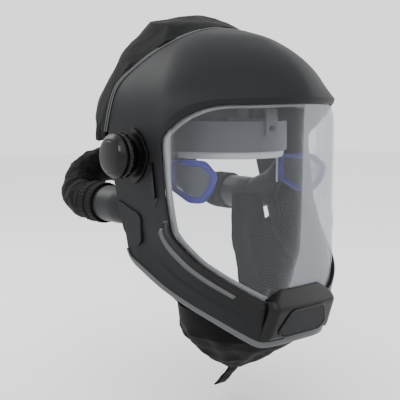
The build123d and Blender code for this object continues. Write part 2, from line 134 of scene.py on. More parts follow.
def thicken(item: bpy.types.Object, thickness: float, offset: float = -1.0) -> None:
    """Give a sheet a wall, inwards unless offset says otherwise."""
    wall = item.modifiers.new("wall", "SOLIDIFY")
    wall.thickness, wall.offset, wall.use_even_offset = thickness * MM, offset, False


def bevel(item: bpy.types.Object, width: float, segments: int = 3, angle: float = 35) -> None:
    """Round an object's sharp edges."""
    edge = item.modifiers.new("edge", "BEVEL")
    edge.width, edge.segments, edge.limit_method = width * MM, segments, "ANGLE"
    edge.angle_limit, edge.harden_normals = math.radians(angle), True


def smoothstep(low: float, high: float, value: float) -> float:
    """0 below low, 1 above high, smooth in between."""
    share = min(1.0, max(0.0, (value - low) / (high - low)))
    return share * share * (3 - 2 * share)


def table_value(table: Sequence[Pair], key: float) -> float:
    """Straight-line value of a table of (key, value) rows."""
    keys, values = zip(*table)
    return float(np.interp(key, keys, values))


# ------------------------------------------------------------------ finishes
class Weave(Enum):
    """Surface pattern of a finish."""

    GRAIN = "grain"
    CLOTH = "cloth"
    KNIT = "knit"
    BRUSHED = "brushed"


@dataclass(frozen=True)
class Finish:
    """One opaque finish.

    The colour drifts softly over the piece, dulls in patches, and carries a fine relief.
    """

    name: str
    colour: Point
    roughness: float
    weave: Weave = Weave.GRAIN
    drift: float = 0.10
    relief: float = 0.15
    pitch: float = 0.9
    metallic: float = 0.0
    coat: float = 0.0
    sheen: float = 0.0
    specular: float = 0.3

    def build(self) -> bpy.types.Material:
        """Make the material."""
        material = bpy.data.materials.new(self.name)
        material.use_nodes = True
        nodes, links = material.node_tree.nodes, material.node_tree.links
        shader = nodes["Principled BSDF"]
        place = nodes.new("ShaderNodeTexCoord").outputs["Object"]
        shader.inputs["Metallic"].default_value = self.metallic
        shader.inputs["Specular IOR Level"].default_value = self.specular
        shader.inputs["Coat Weight"].default_value = self.coat
        shader.inputs["Coat Roughness"].default_value = 0.12
        shader.inputs["Sheen Weight"].default_value = self.sheen
        shader.inputs["Sheen Roughness"].default_value = 0.45
        cloud = nodes.new("ShaderNodeTexNoise")
        cloud.inputs["Scale"].default_value = 28
        cloud.inputs["Detail"].default_value = 5
        links.new(place, cloud.inputs["Vector"])
        tone = nodes.new("ShaderNodeValToRGB")
        for stop, share in zip(tone.color_ramp.elements, (1 - self.drift, 1 + self.drift)):
            stop.color = tuple(c * share for c in self.colour) + (1,)
        tone.color_ramp.elements[0].position, tone.color_ramp.elements[1].position = 0.3, 0.7
        links.new(cloud.outputs["Fac"], tone.inputs["Fac"])
        links.new(tone.outputs["Color"], shader.inputs["Base Color"])
        dull = nodes.new("ShaderNodeMapRange")
        dull.inputs["To Min"].default_value = self.roughness - 0.05
        dull.inputs["To Max"].default_value = self.roughness + 0.07
        links.new(cloud.outputs["Fac"], dull.inputs["Value"])
        links.new(dull.outputs["Result"], shader.inputs["Roughness"])
        bump = nodes.new("ShaderNodeBump")
        bump.inputs["Strength"].default_value = self.relief
        bump.inputs["Distance"].default_value = 0.2 * MM
        links.new(self.height(nodes, links, place), bump.inputs["Height"])
        links.new(bump.outputs["Normal"], shader.inputs["Normal"])
        return material

    def height(self, nodes: bpy.types.Nodes, links: bpy.types.NodeLinks,
               place: bpy.types.NodeSocket) -> bpy.types.NodeSocket:
        """Relief of the finish, as the socket that gives its height."""
        if self.weave in (Weave.GRAIN, Weave.BRUSHED):
            grain = nodes.new("ShaderNodeTexNoise")
            grain.inputs["Scale"].default_value = 1000 / self.pitch
            grain.inputs["Detail"].default_value = 2
            stretch = nodes.new("ShaderNodeMapping")
            stretch.inputs["Scale"].default_value = (0.05, 1, 1) if self.weave is Weave.BRUSHED else (1, 1, 1)
            links.new(place, stretch.inputs["Vector"])
            links.new(stretch.outputs["Vector"], grain.inputs["Vector"])
            return grain.outputs["Fac"]
        bands = []
        turns = ((0, 0, 0.6), (0, 0, -0.6)) if self.weave is Weave.CLOTH else ((0, 0, 0), (0.2, 0, 1.57))
        for turn in turns:
            slant = nodes.new("ShaderNodeMapping")
            slant.inputs["Rotation"].default_value = turn
            band = nodes.new("ShaderNodeTexWave")
            band.bands_direction = "DIAGONAL"
            band.inputs["Scale"].default_value = 314 / self.pitch
            band.inputs["Distortion"].default_value = 0.6
            links.new(place, slant.inputs["Vector"])
            links.new(slant.outputs["Vector"], band.inputs["Vector"])
            bands.append(band.outputs["Fac"])
        cross = nodes.new("ShaderNodeMath")
        cross.operation = "MAXIMUM"
        links.new(bands[0], cross.inputs[0])
        links.new(bands[1], cross.inputs[1])
        return cross.outputs["Value"]


@dataclass(frozen=True)
class ClearFinish:
    """A see-through finish: tinted where looked through, with a mirror that grows at grazing angles. The mirror's grey
    body colour is a painted reflection of the bright surroundings; its gloss is real.
    """

    name: str
    tint: Point
    body: float
    reflection_grey: Point
    roughness: float = 0.03
    blend: float = 0.25

    def build(self) -> bpy.types.Material:
        """Make the material."""
        material = bpy.data.materials.new(self.name)
        material.use_nodes = True
        nodes, links = material.node_tree.nodes, material.node_tree.links
        shader = nodes["Principled BSDF"]
        # This grey base colour, mixed in more at grazing angles, is a painted reflection of the bright surroundings.
        shader.inputs["Base Color"].default_value = self.reflection_grey + (1,)
        shader.inputs["Roughness"].default_value = self.roughness
        shader.inputs["IOR"].default_value = 1.58
        glass = nodes.new("ShaderNodeBsdfTransparent")
        glass.inputs["Color"].default_value = self.tint + (1,)
        facing = nodes.new("ShaderNodeLayerWeight")
        facing.inputs["Blend"].default_value = self.blend
        share = nodes.new("ShaderNodeMapRange")
        share.inputs["To Min"].default_value = self.body
        share.inputs["To Max"].default_value = 0.5
        mix = nodes.new("ShaderNodeMixShader")
        smudge = nodes.new("ShaderNodeTexNoise")
        smudge.inputs["Scale"].default_value = 35
        haze = nodes.new("ShaderNodeMapRange")
        haze.inputs["To Min"].default_value = self.roughness
        haze.inputs["To Max"].default_value = self.roughness + 0.06
        place = nodes.new("ShaderNodeTexCoord").outputs["Object"]
        links.new(place, smudge.inputs["Vector"])
        links.new(smudge.outputs["Fac"], haze.inputs["Value"])
        links.new(haze.outputs["Result"], shader.inputs["Roughness"])
        links.new(facing.outputs["Fresnel"], share.inputs["Value"])
        links.new(share.outputs["Result"], mix.inputs["Fac"])
        links.new(glass.outputs["BSDF"], mix.inputs[1])
        links.new(shader.outputs["BSDF"], mix.inputs[2])
        links.new(mix.outputs["Shader"], nodes["Material Output"].inputs["Surface"])
        return material


FINISHES = {
    "shell_nylon": Finish("shell_nylon", (0.0062, 0.0066, 0.0076), 0.52, drift=0.05, relief=0.10, pitch=0.7,
                          specular=0.16),
    "trim_black": Finish("trim_black", (0.0022, 0.0022, 0.0025), 0.28, drift=0.08, relief=0.04, pitch=0.8,
                         specular=0.20),
    # rim_grey is mostly a painted highlight: on the lower frame's ridge, the jaw rim, the latch edge and the seam
    # beads; elsewhere it is the grey of small marks and stitches.
    "rim_grey": Finish("rim_grey", (0.060, 0.062, 0.066), 0.36, drift=0.05, relief=0.08, pitch=0.7),
    # The last colour of each clear finish is a painted reflection grey.
    "clear_visor": ClearFinish("clear_visor", (0.945, 0.95, 0.96), 0.03, (0.50, 0.515, 0.54)),
    "smoke_leaf": ClearFinish("smoke_leaf", (0.62, 0.64, 0.66), 0.12, (0.30, 0.31, 0.33), 0.15),
    "blue_rim": Finish("blue_rim", (0.030, 0.028, 0.22), 0.40, drift=0.08),
    "duct_grey": Finish("duct_grey", (0.011, 0.0115, 0.0125), 0.42, drift=0.05, relief=0.08, pitch=0.8, specular=0.2),
    "seal_rubber": Finish("seal_rubber", (0.19, 0.192, 0.195), 0.50, drift=0.06),
    "black_fabric": Finish("black_fabric", (0.0030, 0.0032, 0.0036), 0.70, Weave.CLOTH, 0.15, 0.35, 1.1, sheen=0.02,
                           specular=0.08),
    "sweat_cloth": Finish("sweat_cloth", (0.42, 0.42, 0.43), 0.85, Weave.KNIT, 0.08, 0.5, 1.4, sheen=0.2),
    "band_grey": Finish("band_grey", (0.055, 0.057, 0.062), 0.45, drift=0.06, relief=0.10, pitch=0.8),
    "plain_steel": Finish("plain_steel", (0.50, 0.51, 0.52), 0.30, Weave.BRUSHED, 0.06, 0.2, 0.5, metallic=1.0),
}


class Paintbox:
    """Builds each finish once and gives it to pieces."""

    def __init__(self) -> None:
        """Make every material."""
        self.materials = {name: finish.build() for name, finish in FINISHES.items()}

    def dress(self, item: bpy.types.Object, slot: str, body: str, replaces: Iterable[str] = ()) -> None:
        """Paint a piece, let it ride on its body, and hide the nodes it stands for."""
        self.paint(item, slot)
        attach(item, body)
        self.stand_for(item, replaces)

    def stand_for(self, item: bpy.types.Object, replaces: Iterable[str]) -> None:
        """Hide the nodes a piece stands for, and log its face count."""
        if replaces:
            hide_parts(*replaces)
        LOG.info("%s: %d faces", item.name, len(item.data.polygons))

    def paint(self, item: bpy.types.Object, slot: str) -> None:
        """Give a piece one material."""
        item.data.materials.clear()
        item.data.materials.append(self.materials[slot])

    def paint_nodes(self) -> None:
        """Give every CAD node the finish of its own slot."""
        for entry in frame["record"]["subparts"]:
            node = frame["nodes"][entry["node"]]
            for holder in node.material_slots:
                holder.material = self.materials[entry["material_slot"]]


# ------------------------------------------------------------------ the shell's surface
@dataclass(frozen=True)
class ShellLaw:
    """The outer surface that the shell, visor and trims share.

    A point has a level v and a turn u. v is the height up to the dome's base, and above it follows the
    dome's arc. u is 1 on the centre plane and 0 where the side starts to curve, and falls by 1 for each
    100 mm further back.
    """

    half_width: float = 118.0
    dome_base: float = 40.0
    dome_rise: float = 105.0
    jaw_top: float = -80.0
    rim_level: float = -204.0
    jaw_taper: float = 0.44
    cheek_y: float = -8.0
    front: tuple[Pair, ...] = ((-206, -142), (-165, -150), (-141, -153), (-110, -155), (40, -156), (62, -158),
                               (74, -157.6), (92, -145), (110, -125), (125, -100), (136, -75), (142, -50),
                               (144.9, -28), (145, -24))
    curve_start: tuple[Pair, ...] = ((-206, -95), (-150, -80), (-80, -60), (40, -60), (90, -45), (145, -20))
    fullness: tuple[Pair, ...] = ((-206, 5), (-150, 3.2), (-100, 2.2), (-60, 2), (40, 2), (75, 1.6), (145, 1.65))

    def level(self, height: float) -> float:
        """Level v of a height."""
        if height <= self.dome_base:
            return height
        share = min(1.0, (height - self.dome_base) / self.dome_rise)
        return self.dome_base + self.dome_rise * math.asin(share)

    def height(self, v: float) -> float:
        """Height of a level v."""
        if v <= self.dome_base:
            return v
        return self.dome_base + self.dome_rise * math.sin((v - self.dome_base) / self.dome_rise)

    def softened(self, table: Sequence[Pair], height: float, reach: float = 7.0) -> float:
        """Value of a table at a height, averaged over a short reach so that its corners are round."""
        top = self.dome_base + self.dome_rise
        reach = min(reach, max(0.5, top - height))
        return sum(table_value(table, height + reach * k / 2) for k in (-2, -1, 0, 1, 2)) / 5

    def turn(self, height: float, y: float) -> float:
        """Turn u of a point at a height and a y."""
        start = self.softened(self.curve_start, height)
        if y >= start:
            return (start - y) / 100
        reach = start - self.softened(self.front, height)
        return math.asin(min(1.0, (start - y) / reach)) / (math.pi / 2)

    def point(self, v: float, u: float) -> Vector:
        """Point of the surface on the wearer's right."""
        height = self.height(v)
        shrink = math.cos((v - self.dome_base) / self.dome_rise) if v > self.dome_base else 1.0
        jaw = max(0.0, (self.jaw_top - height) / (self.jaw_top - self.rim_level))
        width = (self.half_width - 5 * jaw) * max(0.0, shrink)
        start = self.softened(self.curve_start, height)
        if u <= 0:
            y, spread = start - 100 * u, 1.0
        else:
            power = self.softened(self.fullness, height)
            bend = math.sin(min(1.0, u) * math.pi / 2)
            y = start - (start - self.softened(self.front, height)) * bend
            spread = max(0.0, 1 - bend ** power) ** (1 / power)
        x = (width - self.jaw_taper * jaw * max(0.0, self.cheek_y - y)) * spread
        return Vector((-x, y, height))

    def normal(self, v: float, u: float) -> Vector:
        """Outward normal at a point."""
        step_v, step_u = 0.6, 0.004
        inner_u = min(u, 1 - 2 * step_u)
        along = self.point(v + step_v, inner_u) - self.point(v - step_v, inner_u)
        across = self.point(v, inner_u + step_u) - self.point(v, inner_u - step_u)
        out = across.cross(along)
        if out.length < 1e-9:
            return Vector((0, 0, 1))
        out.normalize()
        outward = Vector((-1, 0, 0)) if u < 0 else Vector((-1, -1, 0.2))
        if out.dot(outward) < 0:
            out.negate()
        if u > 0.96:
            share = smoothstep(0.96, 1.0, u)
            out.x *= 1 - share
            out.normalize()
        return out

    def lifted(self, v: float, u: float, lift: float) -> Vector:
        """Point a little off the surface, along its normal."""
        return self.point(v, u) + self.normal(v, u) * lift


LAW = ShellLaw()


@dataclass(frozen=True)
class Route:
    """A line on the shell's right half, from its top to its chin, given by heights and y.

    Corners are rounded, and the marked points fall at stated shares of its length so that two routes
    run side by side.
    """

    points: tuple[Pair, ...]
    marks: tuple[tuple[int, float], ...]
    rounding: int = 4
    samples: int = 120

    def flat(self) -> list[Pair]:
        """The route's points as (v, u), evenly spread between its marks."""
        flat = [(LAW.level(z), LAW.turn(z, y)) for z, y in self.points]
        flat[0], flat[-1] = (flat[0][0], 1.0), (flat[-1][0], 1.0)
        solid = [LAW.point(v, u) for v, u in flat]
        keys = [0.0] * len(flat)
        for (first, low), (last, high) in zip(self.marks, self.marks[1:]):
            steps = [0.0]
            for k in range(first, last):
                steps.append(steps[-1] + (solid[k + 1] - solid[k]).length)
            for k in range(first, last + 1):
                keys[k] = low + (high - low) * steps[k - first] / steps[-1]
        wanted = np.linspace(0, 1, self.samples)
        v, u = (np.interp(wanted, keys, [p[i] for p in flat]) for i in (0, 1))
        for _ in range(self.rounding):
            for row in (v, u):
                row[1:-1] = row[:-2] / 4 + row[1:-1] / 2 + row[2:] / 4
        return list(zip(v.tolist(), u.tolist()))


OPENING = Route(((57, -158), (57, -153), (57, -146), (57, -138), (57, -130), (57, -119), (54, -105), (46, -90),
                 (31, -68), (19, -53), (-2, -55.5), (-23, -58), (-39, -60), (-61, -65), (-79, -70), (-89, -75),
                 (-111, -99), (-126, -121), (-140, -138), (-152, -147), (-156, -151)),
                ((0, 0.0), (6, 0.25), (9, 0.38), (14, 0.62), (20, 1.0)))
OUTLINE = Route(((144.9, -28), (143.6, -27), (141, -25), (137, -21), (130.5, -15), (117, -2), (99, 15), (86, 28),
                 (74, 35), (48, 40), (25, 47), (0, 45), (-25, 37), (-50, 29), (-85, 15), (-99, 11), (-106, 12),
                 (-119, 6), (-126, -9), (-148, -43), (-170, -85), (-187, -115), (-204, -135), (-204, -143)),
                ((0, 0.0), (6, 0.25), (10, 0.38), (16, 0.62), (23, 1.0)))
BROW_END, JAW_START = 0.37, 0.60


def strip(inner: Route, outer: Route, distances: Callable[[float, float], list[tuple[float, float]]],
          s_range: Pair = (0.0, 1.0)) -> list[list[Vector]]:
    """Points of a strip between two routes, on the right half.

    Args:
        inner: the route it starts from.
        outer: the route it runs towards.
        distances: for a share s and the strip's width there, gives (distance, lift) pairs in millimetres.
        s_range: the part of the routes that it covers.

    Returns:
        One row of points for each share s.
    """
    rows = []
    for k, ((v0, u0), (v1, u1)) in enumerate(zip(inner.flat(), outer.flat())):
        s = k / (inner.samples - 1)
        if not s_range[0] <= s <= s_range[1]:
            continue
        width = sum((LAW.point(v0 + (v1 - v0) * (j + 1) / 8, u0 + (u1 - u0) * (j + 1) / 8)
                     - LAW.point(v0 + (v1 - v0) * j / 8, u0 + (u1 - u0) * j / 8)).length for j in range(8))
        row = []
        for distance, lift in distances(s, width):
            share = distance / width
            row.append(LAW.lifted(v0 + (v1 - v0) * share, u0 + (u1 - u0) * share, lift))
        rows.append(row)
    return rows


def both_halves(rows: list[list[Vector]]) -> list[list[Vector]]:
    """Add a mirror image of the rows, so that they close round the centre plane."""
    return rows + [[Vector((-p.x, p.y, p.z)) for p in row] for row in reversed(rows)]


# ------------------------------------------------------------------ shell and its trims
@dataclass
class Shell:
    """The tilting shell: dome with a flared brow, side panels and jaw."""

    wall: float = 2.6
    brow_band: float = 9.0
    brow_lift: float = 3.6
    brow_fade: float = 34.0
    edge_round: float = 1.0
    rows: int = 26

    def relief(self, s: float, distance: float, width: float) -> float:
        """Height of the shell over its plain surface, at a distance from the visor opening."""
        brow = 1 - smoothstep(BROW_END - 0.14, BROW_END, s)
        rise = distance / self.brow_band
        if rise > 1:
            rise = (1 - min(1.0, (distance - self.brow_band) / self.brow_fade)) ** 2
        jaw = smoothstep(JAW_START + 0.04, JAW_START + 0.14, s)
        step = 1.2 * jaw * smoothstep(0.50 * width, 0.50 * width + 1.5, distance) * (
            1 - smoothstep(width - 9, width - 1, distance))
        return self.brow_lift * brow * rise + step

    def profile(self, s: float, width: float) -> list[Pair]:
        """Distances and lifts across the shell from the opening to its outer edge."""
        near = [0.0, self.edge_round, 3.0, 6.0, self.brow_band - 0.7, self.brow_band, self.brow_band + 0.8,
                self.brow_band + 3]
        start = near[-1]
        far = [width - d for d in (2.4, 1.0, 0.0)]
        share = [start + (width - 2.4 - start) * k / self.rows for k in range(1, self.rows)]
        share = [d for d in share if d > start]
        pairs = [(d, self.relief(s, d, width)) for d in near + share + far]
        pairs[0] = (0.0, pairs[0][1] - 1.0)
        pairs[-1] = (width, pairs[-1][1] - 0.9)
        return pairs

    def build(self, paint: Paintbox) -> None:
        """Make the shell."""
        rows = both_halves(strip(OPENING, OUTLINE, self.profile))
        item = grid_object("shell_moulding", rows, wrap_rows=True)
        thicken(item, self.wall)
        tidy_mesh(item)
        paint.dress(item, "shell_nylon", SHELL_BODY, ("shell",))


@dataclass
class LowerFrame:
    """Gloss black frame along the visor's lower edge, with a raised ridge whose inner face carries a grey strip, a
    painted highlight.
    """

    ridge_end: float = 0.84
    start: float = 0.585
    end: float = 0.93

    def section(self, s: float, width: float) -> list[Pair]:
        """Cross-section at a share of the route: lip, channel, ridge and outer face."""
        fade = smoothstep(self.start, self.start + 0.03, s) * (1 - smoothstep(self.end - 0.06, self.end, s))
        ridge = fade * (1 - smoothstep(0.76, 0.86, s))
        shape = ((0.0, -1.2), (0.0, 0.9), (0.7, 1.5), (3.4, 1.5), (4.1, 0.7), (8.2, 0.7), (8.9, 0.9),
                 (13.2, 0.8 + 2.6 * ridge), (14.4, 0.8 + 2.5 * ridge), (15.5, 0.5), (15.9, -0.6))
        return [(d * min(1.0, 0.4 + 0.6 * fade), 0.15 + h * max(0.25, fade)) for d, h in shape]

    def build(self, paint: Paintbox) -> None:
        """Make the frame, right and left in one piece."""
        rows = strip(OPENING, OUTLINE, self.section, (self.start, self.end))
        item = grid_object("lower_visor_frame", rows)
        other = grid_object("lower_frame_left", [[Vector((-p.x, p.y, p.z)) for p in row] for row in rows])
        for half in (item, other):
            thicken(half, 0.6)
            tidy_mesh(half)
        join((item, other))
        paint.dress(item, "trim_black", SHELL_BODY, ("visor_frame",))
        self.build_ridge_highlight(paint)

    def build_ridge_highlight(self, paint: Paintbox) -> None:
        """Make the grey strip on the ridge's inner face, one on each side: a painted highlight on the ridge's edge."""
        rows = strip(OPENING, OUTLINE, lambda s, width: [(d, h + 0.2) for d, h in self.section(s, width)[6:8]],
                     (self.start + 0.02, self.ridge_end))
        for side in Side:
            grid = [[Vector((-side.value * p.x, p.y, p.z)) for p in row] for row in rows]
            item = grid_object(f"lower_frame_ridge_{side.label}", grid)
            thicken(item, 0.4)
            tidy_mesh(item)
            # rim_grey here is a painted highlight along the ridge's inner face.
            paint.dress(item, "rim_grey", SHELL_BODY)


def join(items: Sequence[bpy.types.Object]) -> bpy.types.Object:
    """Join objects into the first."""
    work = bmesh.new()
    for item in items:
        work.from_mesh(item.data)
    work.to_mesh(items[0].data)
    work.free()
    for item in items[1:]:
        bpy.data.objects.remove(item)
    return items[0]


@dataclass
class RimTrim:
    """Bevelled strip round the bottom edge of the jaw, grey as a painted highlight on its chamfer."""

    height: float = 8.0
    start: float = 0.62

    def section(self, s: float, width: float) -> list[Pair]:
        """Cross-section from its upper edge down round the rim."""
        fade = smoothstep(self.start, self.start + 0.04, s)
        top = width - self.height * max(0.3, fade)
        return [(top, 0.1), (top + 0.3, 1.4), (top + 1.2, 2.0), (width - 1.5, 2.2), (width - 0.2, 1.4), (width, -0.4),
                (width, -2.6)]

    def build(self, paint: Paintbox) -> None:
        """Make the strip."""
        rows = strip(OPENING, OUTLINE, self.section, (self.start, 1.0))
        item = grid_object("jaw_rim_highlight_trim", both_halves(rows))
        thicken(item, 0.7)
        tidy_mesh(item)
        # The grey of this strip is a painted highlight on the rim's chamfer.
        paint.dress(item, "rim_grey", SHELL_BODY, ("rim_trim",))


@dataclass
class Visor:
    """Clear wrap-round visor, and the grey gasket frame behind its edge."""

    inset: float = 3.3
    wall: float = 1.8
    overlap: float = 4.5
    border: float = 3.4
    columns: int = 56
    brow_samples: int = 46
    low_start: int = 70

    def edge(self) -> list[Pair]:
        """The opening's route, pushed outwards under the shell, as (v, u)."""
        flat = []
        for (v0, u0), (v1, u1) in zip(OPENING.flat(), OUTLINE.flat()):
            span = (LAW.point(v1, u1) - LAW.point(v0, u0)).length
            share = self.overlap / span
            flat.append((v0 + (v1 - v0) * share, min(1.0, u0 + (u1 - u0) * share)))
        return flat

    def build(self, paint: Paintbox) -> None:
        """Make the visor and its gasket."""
        edge = self.edge()
        brow = sorted((u, v) for v, u in edge[:self.brow_samples])
        low = sorted((u, v) for v, u in edge[self.low_start:])
        least = min(u for _, u in edge)
        grid = []
        for k in range(self.columns + 1):
            u = least + (1 - least) * k / self.columns
            high_v = float(np.interp(u, [p[0] for p in brow], [p[1] for p in brow]))
            low_v = float(np.interp(u, [p[0] for p in low], [p[1] for p in low]))
            grid.append([LAW.lifted(low_v + (high_v - low_v) * j / 40, u, -self.inset) for j in range(41)])
        LOG.info("visor spans levels %.0f to %.0f", min(v for v, _ in edge), max(v for v, _ in edge))
        mirrored = [[Vector((-p.x, p.y, p.z)) for p in row] for row in reversed(grid[:-1])]
        item = grid_object("visor_lens", grid + mirrored)
        thicken(item, self.wall)
        tidy_mesh(item)
        paint.dress(item, "clear_visor", SHELL_BODY, ("visor",))
        rows = strip(OPENING, OUTLINE, self.gasket_section)
        gasket = grid_object("visor_gasket_frame", both_halves(rows), wrap_rows=True, wrap_columns=True)
        paint.dress(gasket, "seal_rubber", SHELL_BODY, ("visor_gasket",))

    def gasket_section(self, s: float, width: float) -> list[Pair]:
        """Closed cross-section of the gasket, against the visor's inner face."""
        depth = -self.inset - self.wall - 0.2
        return [(self.overlap, depth), (-self.border, depth), (-self.border - 0.8, depth - 1.0),
                (-self.border, depth - 2.2), (self.overlap, depth - 2.2)]


# ------------------------------------------------------------------ shared shapes
def rounded(outline: Sequence[Pair], radius: float, steps: int = 4) -> list[Pair]:
    """Outline with its corners rounded."""
    result = []
    for k, corner in enumerate(outline):
        here = Vector(corner)
        before, after = Vector(outline[k - 1]), Vector(outline[(k + 1) % len(outline)])
        reach = min(radius, (before - here).length / 2.2, (after - here).length / 2.2)
        start = here + (before - here).normalized() * reach
        end = here + (after - here).normalized() * reach
        for j in range(steps + 1):
            t = j / steps
            result.append(tuple(start * (1 - t) ** 2 + here * 2 * t * (1 - t) + end * t ** 2))
    return result


def plate(name: str, outline: Sequence[Pair], inner: float, outer: float, side: Side, corner: float = 2.5,
          edge: float = 0.7) -> bpy.types.Object:
    """Flat moulded plate on the side of the shell.

    Args:
        name: the piece's name, to which the side is added.
        outline: its (y, z) outline.
        inner: distance of its back from the centre plane.
        outer: distance of its face from the centre plane.
        side: which side it is on.
        corner: radius of its corners.
        edge: width of its rounded edge.

    Returns:
        The plate.
    """
    loop = rounded(outline, corner)
    count = len(loop)
    points = [(side.value * inner, y, z) for y, z in loop] + [(side.value * outer, y, z) for y, z in loop]
    faces = [[k, (k + 1) % count, count + (k + 1) % count, count + k] for k in range(count)]
    faces += [list(range(count)), list(range(count, 2 * count))]
    item = mesh_object(f"{name}_{side.label}", points, faces)
    bevel(item, edge)
    return tidy_mesh(item)


def turned(name: str, profile: Sequence[Pair], place: Callable[[float, float, float], Point],
           segments: int = 96) -> bpy.types.Object:
    """Piece of revolution from a profile of (distance along the axis, radius) pairs."""
    grid = []
    for k in range(segments):
        turn = 2 * math.pi * k / segments
        grid.append([place(along, radius * math.cos(turn), radius * math.sin(turn)) for along, radius in profile])
    return grid_object(name, grid, wrap_rows=True)


def smooth_path(points: Sequence[Point], count: int) -> list[Vector]:
    """Points evenly spread on a Catmull-Rom curve through the given ones."""
    knots = [Vector(p) for p in points]
    knots = [knots[0] * 2 - knots[1]] + knots + [knots[-1] * 2 - knots[-2]]
    dense = []
    for a, b, c, d in zip(knots, knots[1:], knots[2:], knots[3:]):
        for j in range(24):
            t = j / 24
            dense.append(0.5 * (2 * b + (c - a) * t + (2 * a - 5 * b + 4 * c - d) * t * t
                                + (3 * b - a - 3 * c + d) * t ** 3))
    dense.append(knots[-2])
    lengths = np.concatenate(([0.0], np.cumsum([(q - p).length for p, q in zip(dense, dense[1:])])))
    wanted = np.linspace(0, lengths[-1], count)
    axes = [np.interp(wanted, lengths, [p[i] for p in dense]) for i in range(3)]
    return [Vector(p) for p in zip(*axes)]


def crease(place: Vector, scale: float, seed: float) -> float:
    """Value from 0 to 1 whose crests are narrow, like folded cloth."""
    value = noise.noise(place * scale + Vector((seed, seed * 1.7, -seed)))
    return 1 - abs(value) * 2


# ------------------------------------------------------------------ repeats, as geometry nodes
class Repeater:
    """Places copies of a small shape round a ring or along a line, by a node group it builds."""

    def __init__(self, paint: Paintbox) -> None:
        """Keep the finishes."""
        self.paint = paint

    def ring(self, name: str, slot: str, count: int, radius: float, grip: float, length: float,
             centre: Point, axis: str) -> bpy.types.Object:
        """Ring of round ribs, as one mesh.

        Args:
            name: the piece's name.
            slot: its finish.
            count: number of ribs.
            radius: distance of the ribs from the axis.
            grip: radius of a rib.
            length: length of a rib.
            centre: middle of the ring.
            axis: the ring's axis, X, Y or Z.

        Returns:
            The mesh of ribs.
        """
        group, nodes, links, output = self.group(name)
        ribs = nodes.new("GeometryNodeMeshCylinder")
        ribs.inputs["Vertices"].default_value = 10
        ribs.inputs["Radius"].default_value = grip * MM
        ribs.inputs["Depth"].default_value = length * MM
        circle = nodes.new("GeometryNodeMeshCircle")
        circle.inputs["Vertices"].default_value = count
        circle.inputs["Radius"].default_value = radius * MM
        placed = self.instances(nodes, links, circle.outputs["Mesh"], ribs.outputs["Mesh"])
        move = nodes.new("GeometryNodeTransform")
        turn = {"X": (0, math.pi / 2, 0), "Y": (math.pi / 2, 0, 0), "Z": (0, 0, 0)}[axis]
        move.inputs["Rotation"].default_value = turn
        move.inputs["Translation"].default_value = tuple(c * MM for c in centre)
        links.new(placed.outputs["Instances"], move.inputs["Geometry"])
        self.finish_group(nodes, links, output, move.outputs["Geometry"], slot)
        return self.apply(name, group, [(0, 0, 0), (0, 0, 1)])

    def stitches(self, name: str, slot: str, line: Sequence[Vector], pitch: float, length: float,
                 thread: float) -> bpy.types.Object:
        """Row of stitches along a line of points, as one mesh."""
        group, nodes, links, output = self.group(name)
        source = nodes.new("NodeGroupInput")
        curve = nodes.new("GeometryNodeMeshToCurve")
        even = nodes.new("GeometryNodeResampleCurve")
        if "Mode" in even.inputs:
            even.inputs["Mode"].default_value = "Length"
        else:
            even.mode = "LENGTH"
        even.inputs["Length"].default_value = pitch * MM
        stitch = nodes.new("GeometryNodeMeshUVSphere")
        stitch.inputs["Segments"].default_value = 8
        stitch.inputs["Rings"].default_value = 6
        stitch.inputs["Radius"].default_value = 1.0 * MM
        links.new(source.outputs["Geometry"], curve.inputs["Mesh"])
        links.new(curve.outputs["Curve"], even.inputs["Curve"])
        placed = self.instances(nodes, links, even.outputs["Curve"], stitch.outputs["Mesh"])
        placed.inputs["Scale"].default_value = (thread, thread, length / 2)
        align = nodes.new("FunctionNodeAlignRotationToVector")
        align.axis = "Z"
        tangent = nodes.new("GeometryNodeInputTangent")
        links.new(tangent.outputs["Tangent"], align.inputs["Vector"])
        links.new(align.outputs["Rotation"], placed.inputs["Rotation"])
        self.finish_group(nodes, links, output, placed.outputs["Instances"], slot)
        return self.apply(name, group, line)

    def group(self, name: str) -> tuple:
        """New node group with a geometry input and output."""
        group = bpy.data.node_groups.new(f"{name}_nodes", "GeometryNodeTree")
        group.interface.new_socket("Geometry", in_out="INPUT", socket_type="NodeSocketGeometry")
        group.interface.new_socket("Geometry", in_out="OUTPUT", socket_type="NodeSocketGeometry")
        return group, group.nodes, group.links, group.nodes.new("NodeGroupOutput")

    def instances(self, nodes: bpy.types.Nodes, links: bpy.types.NodeLinks, points: bpy.types.NodeSocket,
                  shape: bpy.types.NodeSocket) -> bpy.types.Node:
        """Copies of a shape on points."""
        placed = nodes.new("GeometryNodeInstanceOnPoints")
        links.new(points, placed.inputs["Points"])
        links.new(shape, placed.inputs["Instance"])
        return placed

    def finish_group(self, nodes: bpy.types.Nodes, links: bpy.types.NodeLinks, output: bpy.types.Node,
                     result: bpy.types.NodeSocket, slot: str) -> None:
        """End a group in real geometry with its material."""
        real = nodes.new("GeometryNodeRealizeInstances")
        coat = nodes.new("GeometryNodeSetMaterial")
        coat.inputs["Material"].default_value = self.paint.materials[slot]
        links.new(result, real.inputs["Geometry"])
        links.new(real.outputs["Geometry"], coat.inputs["Geometry"])
        links.new(coat.outputs["Geometry"], output.inputs["Geometry"])

    def apply(self, name: str, group: bpy.types.NodeTree, line: Sequence[Sequence[float]]) -> bpy.types.Object:
        """Run a group on a line of points and keep its mesh."""
        mesh = bpy.data.meshes.new(name)
        mesh.from_pydata([tuple(c * MM for c in p) for p in line], [(k, k + 1) for k in range(len(line) - 1)], [])
        item = bpy.data.objects.new(name, mesh)
        bpy.context.collection.objects.link(item)
        item.modifiers.new("repeat", "NODES").node_group = group
        tidy_mesh(item)
        item.data.polygons.foreach_set("use_smooth", [True] * len(item.data.polygons))
        return item


